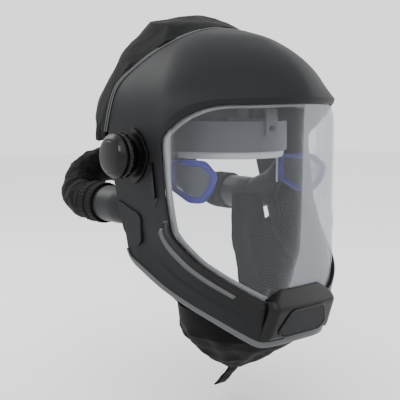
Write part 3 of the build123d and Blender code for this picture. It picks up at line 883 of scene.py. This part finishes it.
# ------------------------------------------------------------------ chin
@dataclass
class Chin:
    """Chin block with a nose, and the plate on its face."""

    front: tuple[Pair, ...] = ((-194, -150), (-190, -152.2), (-162, -162.4), (-159, -163), (-156.5, -162),
                                (-141, -150.4))
    half: tuple[Pair, ...] = ((-194, 52), (-152, 49), (-141, 34))
    rows: int = 30
    columns: int = 36

    def build(self, paint: Paintbox) -> None:
        """Make both pieces."""
        grid = []
        for i in range(self.rows + 1):
            z = -194 + 53 * i / self.rows
            half, face = table_value(self.half, z), table_value(self.front, z)
            row = []
            for j in range(self.columns + 1):
                across = -1 + 2 * j / self.columns
                x = half * across
                back = 7.0 * smoothstep(0.90, 1.0, abs(across))
                row.append((x, face + back + 0.0009 * x * x, z))
            lead, tail = row[0], row[-1]
            grid.append([(lead[0], lead[1] + 9, z)] + row + [(tail[0], tail[1] + 9, z)])
        for end, shift in ((0, -0.2), (-1, 0.2)):
            edge = [(x * 0.985, y + 9, z + shift) for x, y, z in grid[end]]
            grid.insert(0, edge) if end == 0 else grid.append(edge)
        item = grid_object("chin_block", grid)
        thicken(item, 1.5)
        tidy_mesh(item)
        paint.dress(item, "trim_black", SHELL_BODY, ("chin_cover",))
        self.build_plate(paint)

    def build_plate(self, paint: Paintbox) -> None:
        """Make the plate in the middle of the block's face."""
        loop = rounded(((-24, 0), (24, 0), (36, -24), (28, -32), (-28, -32), (-36, -24)), 5)
        origin = Vector((0, -162.3, -161.5))
        down, out = Vector((0, 13, -35)).normalized(), Vector((0, -35, -13)).normalized()
        points = []
        for lift in (0.2, 1.7):
            for x, drop in loop:
                points.append(origin + Vector((x, 0, 0)) + down * -drop + out * lift + Vector((0, 0.0009 * x * x, 0)))
        count = len(loop)
        faces = [[k, (k + 1) % count, count + (k + 1) % count, count + k] for k in range(count)]
        faces += [list(range(count)), list(range(count, 2 * count))]
        item = mesh_object("chin_badge_plate", points, faces)
        bevel(item, 0.6)
        tidy_mesh(item)
        paint.dress(item, "shell_nylon", SHELL_BODY, ("chin_plate",))
        around = [origin + Vector((x * 1.04, 0.0009 * x * x, 0)) - down * drop * 1.04 + out * 0.9 for x, drop in loop]
        border = Piping(1.1).bead_along("chin_plate_border", around + around[:1])
        paint.dress(border, "trim_black", SHELL_BODY)
        foot = [origin + Vector((x, 0.0009 * x * x, 0)) + down * 34.4 + out * 1.5 for x in np.linspace(-27, 27, 24)]
        line = Piping(0.45).bead_along("chin_plate_foot_line", foot)
        paint.dress(line, "rim_grey", SHELL_BODY)


# ------------------------------------------------------------------ pieces on each side
@dataclass
class SideFittings:
    """Arc plate, latch, side cover, knob and air path of one side."""

    side: Side
    face: float = 148.0
    back: float = 128.0
    radius: float = 25.0

    def out(self, along: float, y: float, z: float) -> Point:
        """Point at a distance outwards from the centre plane."""
        return (self.side.value * along, y, z)

    def build(self, paint: Paintbox, repeater: Repeater) -> None:
        """Make every fitting."""
        label = self.side.label
        outer, inner = [], []
        for angle in range(100, 261, 5):
            lug = 2.6 * smoothstep(164, 168, angle) * (1 - smoothstep(192, 196, angle))
            turn = math.radians(angle)
            outer.append(((31.5 + lug) * math.cos(turn), (31.5 + lug) * math.sin(turn)))
            inner.append((23.5 * math.cos(turn), 23.5 * math.sin(turn)))
        item = plate("arc_crescent", outer + inner[::-1], 118.5, 121.4, self.side, 0.6, 0.5)
        paint.dress(item, "trim_black", SHELL_BODY, (f"arc_plate_{label}",))
        cover = plate("side_panel", ((27, -52), (-14, -64), (-19, -69), (-20, -95), (-14, -101), (-8, -101), (13, -87)),
                      117.9, 120.3, self.side, 4, 0.9)
        paint.dress(cover, "shell_nylon", SHELL_BODY, (f"side_cover_{label}",))
        pocket = plate("latch_pocket", ((-31, -2), (-44, -4), (-49.5, -44), (-44, -55), (-33, -49), (-31, -14)),
                       117.0, 118.5, self.side, 2, 0.3)
        paint.dress(pocket, "shell_nylon", SHELL_BODY)
        slider = plate("latch_slider", ((-39, -5), (-41.5, -6), (-47, -42), (-45.5, -45), (-43.5, -42), (-39.5, -14)),
                       118.6, 121.2, self.side, 0.8, 0.5)
        paint.dress(slider, "trim_black", f"{label}_latch", (f"latch_{label}",))
        # latch_edge_highlight is a grey painted highlight along the slider's edge.
        details = (("latch_edge_highlight", ((-36.8, -6), (-37.8, -6), (-42.4, -43), (-41.4, -43)), "rim_grey", 118.4, 119.0),
                   # latch_slot_shade is a thin black sheet standing in for the slot's opening: painted shade.
                   ("latch_slot_shade", ((-46.5, -43), (-48.5, -45), (-40.5, -54), (-38.5, -52)), "trim_black", 118.0,
                    118.55),
                   ("latch_mark_top", ((-33, -6), (-37, -6.4), (-37, -7.6), (-33, -7.2)), "trim_black", 118.4, 118.9),
                   ("latch_mark_low", ((-32.5, -27), (-38.5, -27.4), (-38.5, -28.8), (-32.5, -28.4)), "trim_black",
                    118.4, 118.9))
        for name, outline, slot, back, front in details:
            paint.dress(plate(name, outline, back, front, self.side, 0.4, 0.2), slot, SHELL_BODY)
        self.knob(paint, repeater)
        self.air_path(paint)
        self.deflector(paint)

    def knob(self, paint: Paintbox, repeater: Repeater) -> None:
        """Make the clamping knob: ribbed rim, bevelled face with a groove, collar and cap."""
        label = self.side.label
        face, back, radius = self.face, self.back, self.radius
        profile = ((121.8, 5.2), (121.8, 19.4), (122.4, 20), (back - 0.2, 20), (back, 20.4), (back, radius - 1.6),
                   (back + 0.8, radius - 0.4), (back + 6.6, radius - 0.4), (back + 7.4, radius - 1.6),
                   (back + 8.4, radius - 1.6), (back + 9.2, radius), (face - 6.2, radius), (face - 4.8, radius - 0.7),
                   (face - 0.8, radius - 4.6), (face, radius - 5.8), (face, 3.0), (face, 0.05))
        item = turned(f"knob_body_{label}", profile, self.out)
        paint.dress(item, "trim_black", f"{label}_knob", (f"knob_{label}",))
        ribs = repeater.ring(f"knob_grips_{label}", "trim_black", 16, radius - 0.7, 1.3, 5.4,
                             self.out(back + 3.7, 0, 0), "X")
        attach(ribs, f"{label}_knob")
        paint.stand_for(ribs, ())
        cap = turned(f"knob_disc_{label}", ((face - 0.1, 17), (face + 0.5, 16.8), (face + 0.8, 16), (face + 0.8, 0.05)),
                     self.out)
        paint.dress(cap, "trim_black", f"{label}_knob", (f"knob_cap_{label}",))
        mark = plate("knob_pointer", ((-17.5, 12.5), (-19.5, 12.5), (-20.5, 6.5), (-18.5, 6.5)), face - 2.4, face - 0.4,
                     self.side, 0.4, 0.2)
        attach(mark, f"{label}_knob")
        paint.paint(mark, "rim_grey")
        paint.stand_for(mark, ())

    def oval_tube(self, name: str, stations: Sequence[tuple], wall: float) -> bpy.types.Object:
        """Tube through upright ovals given as (y, x, z, half width, half height)."""
        ys = [s[0] for s in stations]
        order = sorted(range(len(ys)), key=lambda k: ys[k])
        table = np.array([stations[k] for k in order])
        grid = []
        for y in np.linspace(table[0][0], table[-1][0], 26):
            x, z, a, b = (float(np.interp(y, table[:, 0], table[:, k])) for k in (1, 2, 3, 4))
            grid.append([(-self.side.value * (x + a * math.cos(t)), y, z + b * math.sin(t))
                         for t in np.linspace(0, 2 * math.pi, 64, endpoint=False)])
        item = grid_object(f"{name}_{self.side.label}", grid, wrap_columns=True)
        thicken(item, wall)
        return tidy_mesh(item)

    def air_path(self, paint: Paintbox) -> None:
        """Make the rear cone, the inner channel and the gathered cuff."""
        label = self.side.label
        cone = self.oval_tube("duct_cone", ((24, -97, -62, 17, 22), (33, -99, -62, 20, 22), (42, -100, -62, 22, 22),
                                            (78, -103, -62, 21.5, 21.5)), 1.8)
        paint.dress(cone, "duct_grey", SHELL_BODY, (f"duct_{label}",))
        inner = self.oval_tube("air_channel_shape", ((23.7, -97, -62, 16.5, 21.5), (-8, -96, -50, 13, 23),
                                                     (-26, -96, -24, 9.5, 19)), 1.8)
        paint.dress(inner, "duct_grey", SHELL_BODY, (f"air_channel_{label}",))
        grid = []
        for y in np.linspace(71.5, 100.8, 64):
            band = 1.0 if y < 85 or y > 87.3 else 0.0
            row = []
            for k in range(144):
                turn = 2 * math.pi * k / 144
                gather = 0.5 + 0.5 * math.sin(30 * turn + 1.5 * noise.noise(Vector((y / 8, turn, 3))))
                edge = smoothstep(0, 2.0, min(abs(y - 71.5), abs(y - 85), abs(y - 87.3), abs(y - 100.8)))
                radius = 23.0 + band * (0.6 + 1.3 * edge * (0.35 + 0.65 * gather))
                row.append((self.side.value * 103 + radius * math.cos(turn), y, -62 + radius * math.sin(turn)))
            grid.append(row)
        cuff = grid_object(f"cuff_gathers_{label}", grid, wrap_columns=True)
        thicken(cuff, 0.7)
        tidy_mesh(cuff)
        paint.dress(cuff, "black_fabric", SHELL_BODY, (f"cuff_{label}",))

    def deflector(self, paint: Paintbox) -> None:
        """Make the blue rim and the smoked leaf inside it."""
        label = self.side.label
        outline = rounded(((-33, -6), (-64, -3), (-90, -3), (-109, -17), (-102, -35), (-87, -49), (-66, -50),
                           (-33, -37)), 6, 6)
        centre = Vector((sum(p[0] for p in outline) / len(outline), sum(p[1] for p in outline) / len(outline)))
        section = ((0, -2.3), (0, 2.3), (0.8, 2.5), (6.0, 2.5), (7.0, 1.4), (7.0, -1.4), (6.0, -2.5), (0.8, -2.5))
        grid, leaf = [], []
        for y, z in outline:
            inward = (centre - Vector((y, z))).normalized()
            grid.append([self.out(87 + lift, y + inward.x * depth, z + inward.y * depth) for depth, lift in section])
            leaf.append((y + inward.x * 6.4, z + inward.y * 6.4))
        rim = grid_object(f"deflector_frame_{label}", grid, wrap_rows=True, wrap_columns=True)
        paint.dress(rim, "blue_rim", f"{label}_deflector", (f"deflector_rim_{label}",))
        pane = plate("deflector_pane", leaf, 86.0, 88.0, self.side, 1, 0.4)
        paint.dress(pane, "smoke_leaf", f"{label}_deflector", (f"deflector_leaf_{label}",))


# ------------------------------------------------------------------ soft goods
@dataclass
class Sleeve:
    """Loose fabric tube from a cuff round to the manifold."""

    side: Side
    radius: float = 22.6
    rings: int = 130
    segments: int = 96
    fold: float = 2.6

    def build(self, paint: Paintbox) -> None:
        """Make the sleeve."""
        sign, label = self.side.value, self.side.label
        path = smooth_path(((sign * 103, 99, -62), (sign * 103, 120, -61), (sign * 98, 140, -54), (sign * 80, 153, -34),
                            (sign * 62, 152.5, -24), (sign * 41, 150, -21)), self.rings)
        grid = []
        for k, centre in enumerate(path):
            ahead = (path[min(k + 1, self.rings - 1)] - path[max(k - 1, 0)]).normalized()
            across = ahead.cross(Vector((0, 0, 1))).normalized()
            up = across.cross(ahead)
            share = k / (self.rings - 1)
            loose = smoothstep(0, 0.06, share) * (1 - smoothstep(0.93, 1.0, share))
            row = []
            for j in range(self.segments):
                turn = 2 * math.pi * j / self.segments
                way = across * math.cos(turn) + up * math.sin(turn)
                spot = Vector((math.cos(turn) * 1.3, math.sin(turn) * 1.3, share * 11))
                puff = crease(spot, 0.62, 4 + sign) * self.fold + crease(spot, 1.5, 9 + sign) * 0.7 - 1.6
                base = 22.2 if share < 0.5 else 22.2 - 3.0 * smoothstep(0.9, 1.0, share)
                row.append(centre + way * (base + loose * puff))
            grid.append(row)
        item = grid_object(f"air_sleeve_{label}", grid, wrap_columns=True)
        thicken(item, 0.8)
        tidy_mesh(item)
        paint.paint(item, "black_fabric")
        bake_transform(item)
        paint.stand_for(item, (f"sleeve_{label}",))


@dataclass
class Hood:
    """Fabric hood, sewn to the shell's rear seam and gathered at its hem."""

    seam: tuple[Pair, ...] = ((-28, 144), (-15, 130.5), (-2, 117), (15, 99), (28, 86), (35, 74), (40, 48),
                               (47, 25), (47, 15))
    spine: tuple[Pair, ...] = ((-27, 146), (-8, 153), (22, 161), (52, 164), (78, 157), (87, 143), (95, 122), (105, 96),
                               (127, 73), (143, 53), (138, 37), (127, 15))
    rows: int = 120
    columns: int = 150
    fold: float = 5.0

    def build(self, paint: Paintbox, repeater: Repeater) -> None:
        """Make the hood."""
        seam = smooth_path([(0, y, z) for y, z in self.seam], self.rows)
        spine = smooth_path([(0, y, z) for y, z in self.spine], self.rows)
        half = []
        for i, (edge, back) in enumerate(zip(seam, spine)):
            height = min(edge.z, 144.3)
            start = LAW.lifted(LAW.level(height), LAW.turn(height, edge.y + 2.0), 0.6)
            start.x = min(start.x, -0.01)
            s = i / (self.rows - 1)
            row = []
            for j in range(self.columns):
                t = j / (self.columns - 1)
                turn = t * math.pi / 2
                spread, depth = math.cos(turn) ** 0.86, math.sin(turn) ** 1.05
                row.append(Vector((start.x * spread, start.y + (back.y - start.y) * depth,
                                   start.z + (back.z - start.z) * smoothstep(0, 1, t))))
            half.append((s, row))
        grid = []
        for s, row in half:
            mirrored = [Vector((-p.x, p.y, p.z)) for p in row[:-1]]
            grid.append((s, row + mirrored[::-1]))
        item = grid_object("fabric_hood", [self.folded(s, row) for s, row in grid])
        thicken(item, 0.9)
        tidy_mesh(item)
        paint.paint(item, "black_fabric")
        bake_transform(item)
        paint.stand_for(item, ("hood",))
        edge = [row[0] for _, row in half]
        LOG.info("hood: cloth %.4f m2, half seam %.1f mm, spine %.1f mm", sum(f.area for f in item.data.polygons) / 2,
                 sum((q - p).length for p, q in zip(edge, edge[1:])),
                 sum((q - p).length for p, q in zip(spine, spine[1:])))

    def folded(self, s: float, row: Sequence[Vector]) -> list[Vector]:
        """A line of the hood with its folds."""
        last, result = len(row) - 1, []
        for j, place in enumerate(row):
            t = min(j, last - j) / (last / 2)
            away = (place - Vector((0, 35, 60))).normalized()
            loose = smoothstep(0.0, 0.12, t) * smoothstep(0.02, 0.12, s)
            gather = smoothstep(0.80, 1.0, s)
            lump = crease(place * 0.017, 1.0, 5.0) * self.fold + crease(place * 0.042, 1.0, 11.0) * 0.7 - 2.0
            pleat = 1.6 * gather * math.sin(j * 0.42 + 2 * noise.noise(place * 0.05))
            result.append(place + away * loose * (lump + pleat))
        return result


@dataclass
class FaceSeal:
    """Fabric pouch under the chin, with the curtain above it inside the shell, and its pull tab."""

    pouch: tuple[tuple[float, float, float, float], ...] = (
        (-176, 72, -52, 76), (-206, 70, -56, 76), (-218, 62, -54, 66), (-232, 48, -53, 46), (-245, 31, -51, 25),
        (-256, 12, -49, 7))
    wall: tuple[tuple[float, float, float, float, float], ...] = (
        (-178, 70, -58, 51, 0), (-150, 74, -58, 69, 26), (-120, 76, -50, 71, 36), (-90, 77, -18, 72, 38),
        (-60, 77, -10, 72, 36))
    jaw_edge: tuple[Pair, ...] = ((9, -90), (4, -106), (-6, -118), (-24, -131), (-50, -147), (-90, -166), (-112, -176))
    rows: int = 90
    segments: int = 144

    def build(self, paint: Paintbox) -> None:
        """Make the pouch, its pull ribbon and both side walls."""
        table = np.array(self.pouch)[::-1]
        grid = []
        for z in np.linspace(-176, -256.5, self.rows):
            a, y0, b = (float(np.interp(z, table[:, 0], table[:, k])) for k in (1, 2, 3))
            row = []
            for k in range(self.segments):
                turn = 2 * math.pi * k / self.segments
                place = Vector((a * math.cos(turn), y0 + b * math.sin(turn), z))
                loose = smoothstep(0, 1, (-196 - z) / 16) if z > -212 else 1.0
                pleat = math.sin(11 * turn + 3 * noise.noise(place * 0.02)) * 1.8
                lump = crease(place * 0.035, 1.0, 2.0) * 3.2 - 2.0
                out = Vector((math.cos(turn), math.sin(turn), 0))
                row.append(place + out * loose * (lump + pleat) * min(1.0, a / 30))
            grid.append(row)
        item = grid_object("chin_pouch", grid, wrap_columns=True)
        thicken(item, 0.8)
        tidy_mesh(item)
        paint.dress(item, "black_fabric", SHELL_BODY, ("face_seal",))
        LOG.info("pouch cloth area %.4f m2", sum(f.area for f in item.data.polygons) / 2)
        tab = smooth_path(((0, -47, -256), (0, -38, -266), (0, -28, -277), (0, -19, -287)), 30)
        strap = [[p + Vector((x, 0.4 * math.sin(k * 0.5), 0)) for x in (-9, -4.5, 0, 4.5, 9)]
                 for k, p in enumerate(tab)]
        ribbon = grid_object("pull_ribbon", strap)
        thicken(ribbon, 1.6, 0)
        tidy_mesh(ribbon)
        paint.dress(ribbon, "black_fabric", SHELL_BODY, ("pull_tab",))
        for side in Side:
            self.build_wall(side, paint)

    def build_wall(self, side: Side, paint: Paintbox) -> None:
        """Make the side wall that rises from the pouch past the wearer's cheek, with its hemmed free edge."""
        table = np.array(self.wall)
        grid = []
        for z in np.linspace(-178, -60, 70):
            front_x, front_y, rear_x, rear_y = (float(np.interp(z, table[:, 0], table[:, k])) for k in (1, 2, 3, 4))
            row = []
            for t in np.linspace(0, 1, 56):
                place = Vector((front_x + (rear_x - front_x) * t + 1, front_y + (rear_y - front_y) * t, z))
                drift = noise.noise(place * 0.03)
                fold = 1.5 * math.sin(10 * t + 4 * drift) + 1.2 * crease(place * 0.03, 1.0, 3.0) - 0.6
                place.x += smoothstep(0, 0.2, t) * fold
                place.y += 1.5 * t * noise.noise(Vector((0, 2, z * 0.06)))
                row.append(Vector((side.value * place.x, place.y, place.z)))
            grid.append(row)
        item = grid_object(f"seal_wall_{side.label}", grid)
        thicken(item, 0.8, 0)
        tidy_mesh(item)
        paint.dress(item, "black_fabric", SHELL_BODY)
        LOG.info("seal wall cloth area %.4f m2", sum(f.area for f in item.data.polygons) / 2)
        hem = Piping(1.3).bead_along(f"seal_hem_{side.label}", [row[-1] for row in grid] + grid[-1][-2::-4])
        paint.dress(hem, "black_fabric", SHELL_BODY)
        self.build_web(side, paint, table)

    def build_web(self, side: Side, paint: Paintbox, table: np.ndarray) -> None:
        """Make the web of fabric from the side wall's front edge out to the inside of the shell's jaw."""
        levels = np.linspace(-88, -177, 40)
        jaw = smooth_path([(0, y, z) for y, z in self.jaw_edge], 40)
        grid = []
        for z, edge in zip(levels, jaw):
            front_x, front_y = (float(np.interp(z, table[:, 0], table[:, k])) for k in (1, 2))
            outer = LAW.lifted(LAW.level(edge.z), LAW.turn(edge.z, edge.y), -4.5)
            inner = Vector((-front_x - 1, front_y, z))
            row = []
            for t in np.linspace(0, 1, 24):
                place = inner.lerp(outer, t)
                place.z += 2.5 * math.sin(math.pi * t) * noise.noise(place * 0.04)
                row.append(Vector((-side.value * place.x, place.y, place.z)))
            grid.append(row)
        item = grid_object(f"seal_web_{side.label}", grid)
        thicken(item, 0.8, 0)
        tidy_mesh(item)
        paint.dress(item, "black_fabric", SHELL_BODY)
        LOG.info("seal web cloth area %.4f m2", sum(f.area for f in item.data.polygons) / 2)


@dataclass
class BandPad:
    """Foam pad behind part of a band: a puffed strip on an ellipse, with a seam round it."""

    name: str
    node: str
    body: str
    half_width: float
    half_length: float
    low: float
    high: float
    depth: float
    arc: Pair

    def build(self, paint: Paintbox) -> None:
        """Make the pad."""
        grid = []
        for angle in np.linspace(*self.arc, 110):
            turn = math.radians(angle)
            way = Vector((math.cos(turn) / self.half_width, math.sin(turn) / self.half_length, 0)).normalized()
            edge = Vector((self.half_width * math.cos(turn), self.half_length * math.sin(turn), 0))
            near_end = min(abs(angle - self.arc[0]), abs(angle - self.arc[1]))
            swell = 0.25 + 0.75 * smoothstep(0, 7, near_end)
            row = []
            for k in range(28):
                sweep = 2 * math.pi * k / 28
                tall = (self.high - self.low) / 2 * (0.9 + 0.1 * swell)
                push = self.depth / 2 * swell
                across = push * (1 + abs(math.cos(sweep)) ** 0.7 * math.copysign(1, math.cos(sweep)))
                bulge = abs(math.sin(sweep)) ** 0.6 * math.copysign(1, math.sin(sweep))
                level = (self.low + self.high) / 2 + tall * bulge
                row.append(edge - way * across + Vector((0, 0, level)))
            grid.append(row)
        points = [p for r in grid for p in r]
        faces = grid_faces(len(grid), 28, wrap_columns=True)
        faces += [list(range(28)), [len(points) - 28 + k for k in range(28)]]
        item = mesh_object(self.name, points, faces)
        paint.dress(item, "sweat_cloth", self.body, (self.node,))


# ------------------------------------------------------------------ harness and rear pieces
class Harness:
    """Head band, straps and the rear air pieces, kept as modelled with rounded edges."""

    rounded_nodes = ("headband", "cross_strap", "crown_strap", "rear_yoke", "ratchet_housing", "fit_wheel",
                     "hose_carrier", "manifold_bracket", "manifold", "swivel_ring", "pivot_arm_right", "pivot_arm_left")

    def build(self, paint: Paintbox, repeater: Repeater) -> None:
        """Round the edges of the CAD pieces and add the pads."""
        for name in self.rounded_nodes:
            bevel(frame["nodes"][name], 0.5, 2, 40)
        BandPad("brow_sweatband", "sweatband", HARNESS, 76.9, 98.9, -4, 33, 6.5, (196, 344)).build(paint)
        BandPad("nape_pad", "rear_pad", "yoke_slider", 73.5, 97.0, 11, 31, 5.0, (42, 138)).build(paint)
        grips = repeater.ring("swivel_grips", "band_grey", 24, 24.6, 0.8, 11, (0, 150, -66.5), "Z")
        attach(grips, "hose_swivel")
        paint.stand_for(grips, ())


@dataclass
class Piping:
    """Double bead along the rear seam; its grey is a painted highlight."""

    bead: float = 0.95

    def build(self, paint: Paintbox, repeater: Repeater) -> None:
        """Make the beads, grey as painted highlights along the seam, and the row of stitches behind them."""
        seam = smooth_path([(0, y, z) for y, z in Hood.seam[:-1]], 120)
        for number, shift in enumerate((0.8, 4.6)):
            centre = []
            for p in seam:
                height = min(p.z, 144.4)
                centre.append(LAW.lifted(LAW.level(height), LAW.turn(height, p.y + shift), 0.4))
            line = centre[::-1] + [Vector((-p.x, p.y, p.z)) for p in centre[1:]]
            item = self.bead_along(f"seam_bead_{number + 1}", line)
            # The beads' grey is a painted highlight along the seam.
            paint.dress(item, "rim_grey", SHELL_BODY, ("piping",) if number == 0 else ())
        inset = []
        for p in seam:
            height = min(p.z, 144.4)
            inset.append(LAW.lifted(LAW.level(height), LAW.turn(height, p.y - 3.0), 0.1))
        stitches = repeater.stitches("seam_stitches", "rim_grey", inset, 3.4, 2.2, 0.32)
        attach(stitches, SHELL_BODY)
        paint.stand_for(stitches, ())

    def bead_along(self, name: str, line: Sequence[Vector]) -> bpy.types.Object:
        """Round cord along a line."""
        grid = []
        for k, centre in enumerate(line):
            ahead = (line[min(k + 1, len(line) - 1)] - line[max(k - 1, 0)]).normalized()
            across = ahead.cross(Vector((0, 1, 0.2))).normalized()
            up = across.cross(ahead)
            grid.append([centre + (across * math.cos(t) + up * math.sin(t)) * self.bead
                         for t in np.linspace(0, 2 * math.pi, 12, endpoint=False)])
        return grid_object(name, grid, wrap_columns=True)


# ------------------------------------------------------------------ studio
class Studio:
    """Pale floor, bright surroundings, soft lights and the camera of the photograph."""

    floor_level: float = -0.30

    def build(self) -> None:
        """Set the stage."""
        world = bpy.data.worlds.new("studio")
        world.use_nodes = True
        world.node_tree.nodes["Background"].inputs["Color"].default_value = (0.97, 0.975, 0.98, 1)
        world.node_tree.nodes["Background"].inputs["Strength"].default_value = 1.7
        bpy.context.scene.world = world
        mesh = bpy.data.meshes.new("floor")
        size, level = 4.0, self.floor_level
        mesh.from_pydata([(-size, -size, level), (size, -size, level), (size, size, level), (-size, size, level)], [],
                         [(0, 1, 2, 3)])
        floor = bpy.data.objects.new("floor", mesh)
        bpy.context.collection.objects.link(floor)
        pale = bpy.data.materials.new("floor_pale")
        pale.use_nodes = True
        pale.node_tree.nodes["Principled BSDF"].inputs["Base Color"].default_value = (0.9, 0.9, 0.9, 1)
        pale.node_tree.nodes["Principled BSDF"].inputs["Roughness"].default_value = 0.8
        floor.data.materials.append(pale)
        for name, place, size, power in (("key", (-0.9, -0.9, 1.1), 1.6, 14), ("fill", (1.2, -0.7, 0.4), 1.1, 6),
                                         ("rim", (-0.5, 1.1, 0.9), 0.8, 10)):
            light = bpy.data.lights.new(name, "AREA")
            light.energy, light.size = power, size
            lamp = bpy.data.objects.new(name, light)
            lamp.location = place
            lamp.rotation_euler = (Vector((0, -0.02, -0.05)) - Vector(place)).to_track_quat("-Z", "Y").to_euler()
            bpy.context.collection.objects.link(lamp)
        lens = bpy.data.cameras.new("camera")
        lens.lens, lens.sensor_width = 72, 36
        camera = bpy.data.objects.new("camera", lens)
        camera.location = (-0.642, -0.730, 0.061)
        camera.rotation_euler = (math.radians(82.9), 0, math.radians(-40.6))
        bpy.context.collection.objects.link(camera)
        bpy.context.scene.camera = camera


def main() -> None:
    """Build the whole scene."""
    logging.basicConfig(level=logging.INFO, format="%(name)s %(message)s")
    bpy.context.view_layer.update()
    paint = Paintbox()
    paint.paint_nodes()
    repeater = Repeater(paint)
    Shell().build(paint)
    Visor().build(paint)
    LowerFrame().build(paint)
    RimTrim().build(paint)
    Chin().build(paint)
    for side in Side:
        SideFittings(side).build(paint, repeater)
        Sleeve(side).build(paint)
    Piping().build(paint, repeater)
    Hood().build(paint, repeater)
    FaceSeal().build(paint)
    Harness().build(paint, repeater)
    Studio().build()
    bpy.context.view_layer.update()


if __name__ == "__main__":
    main()
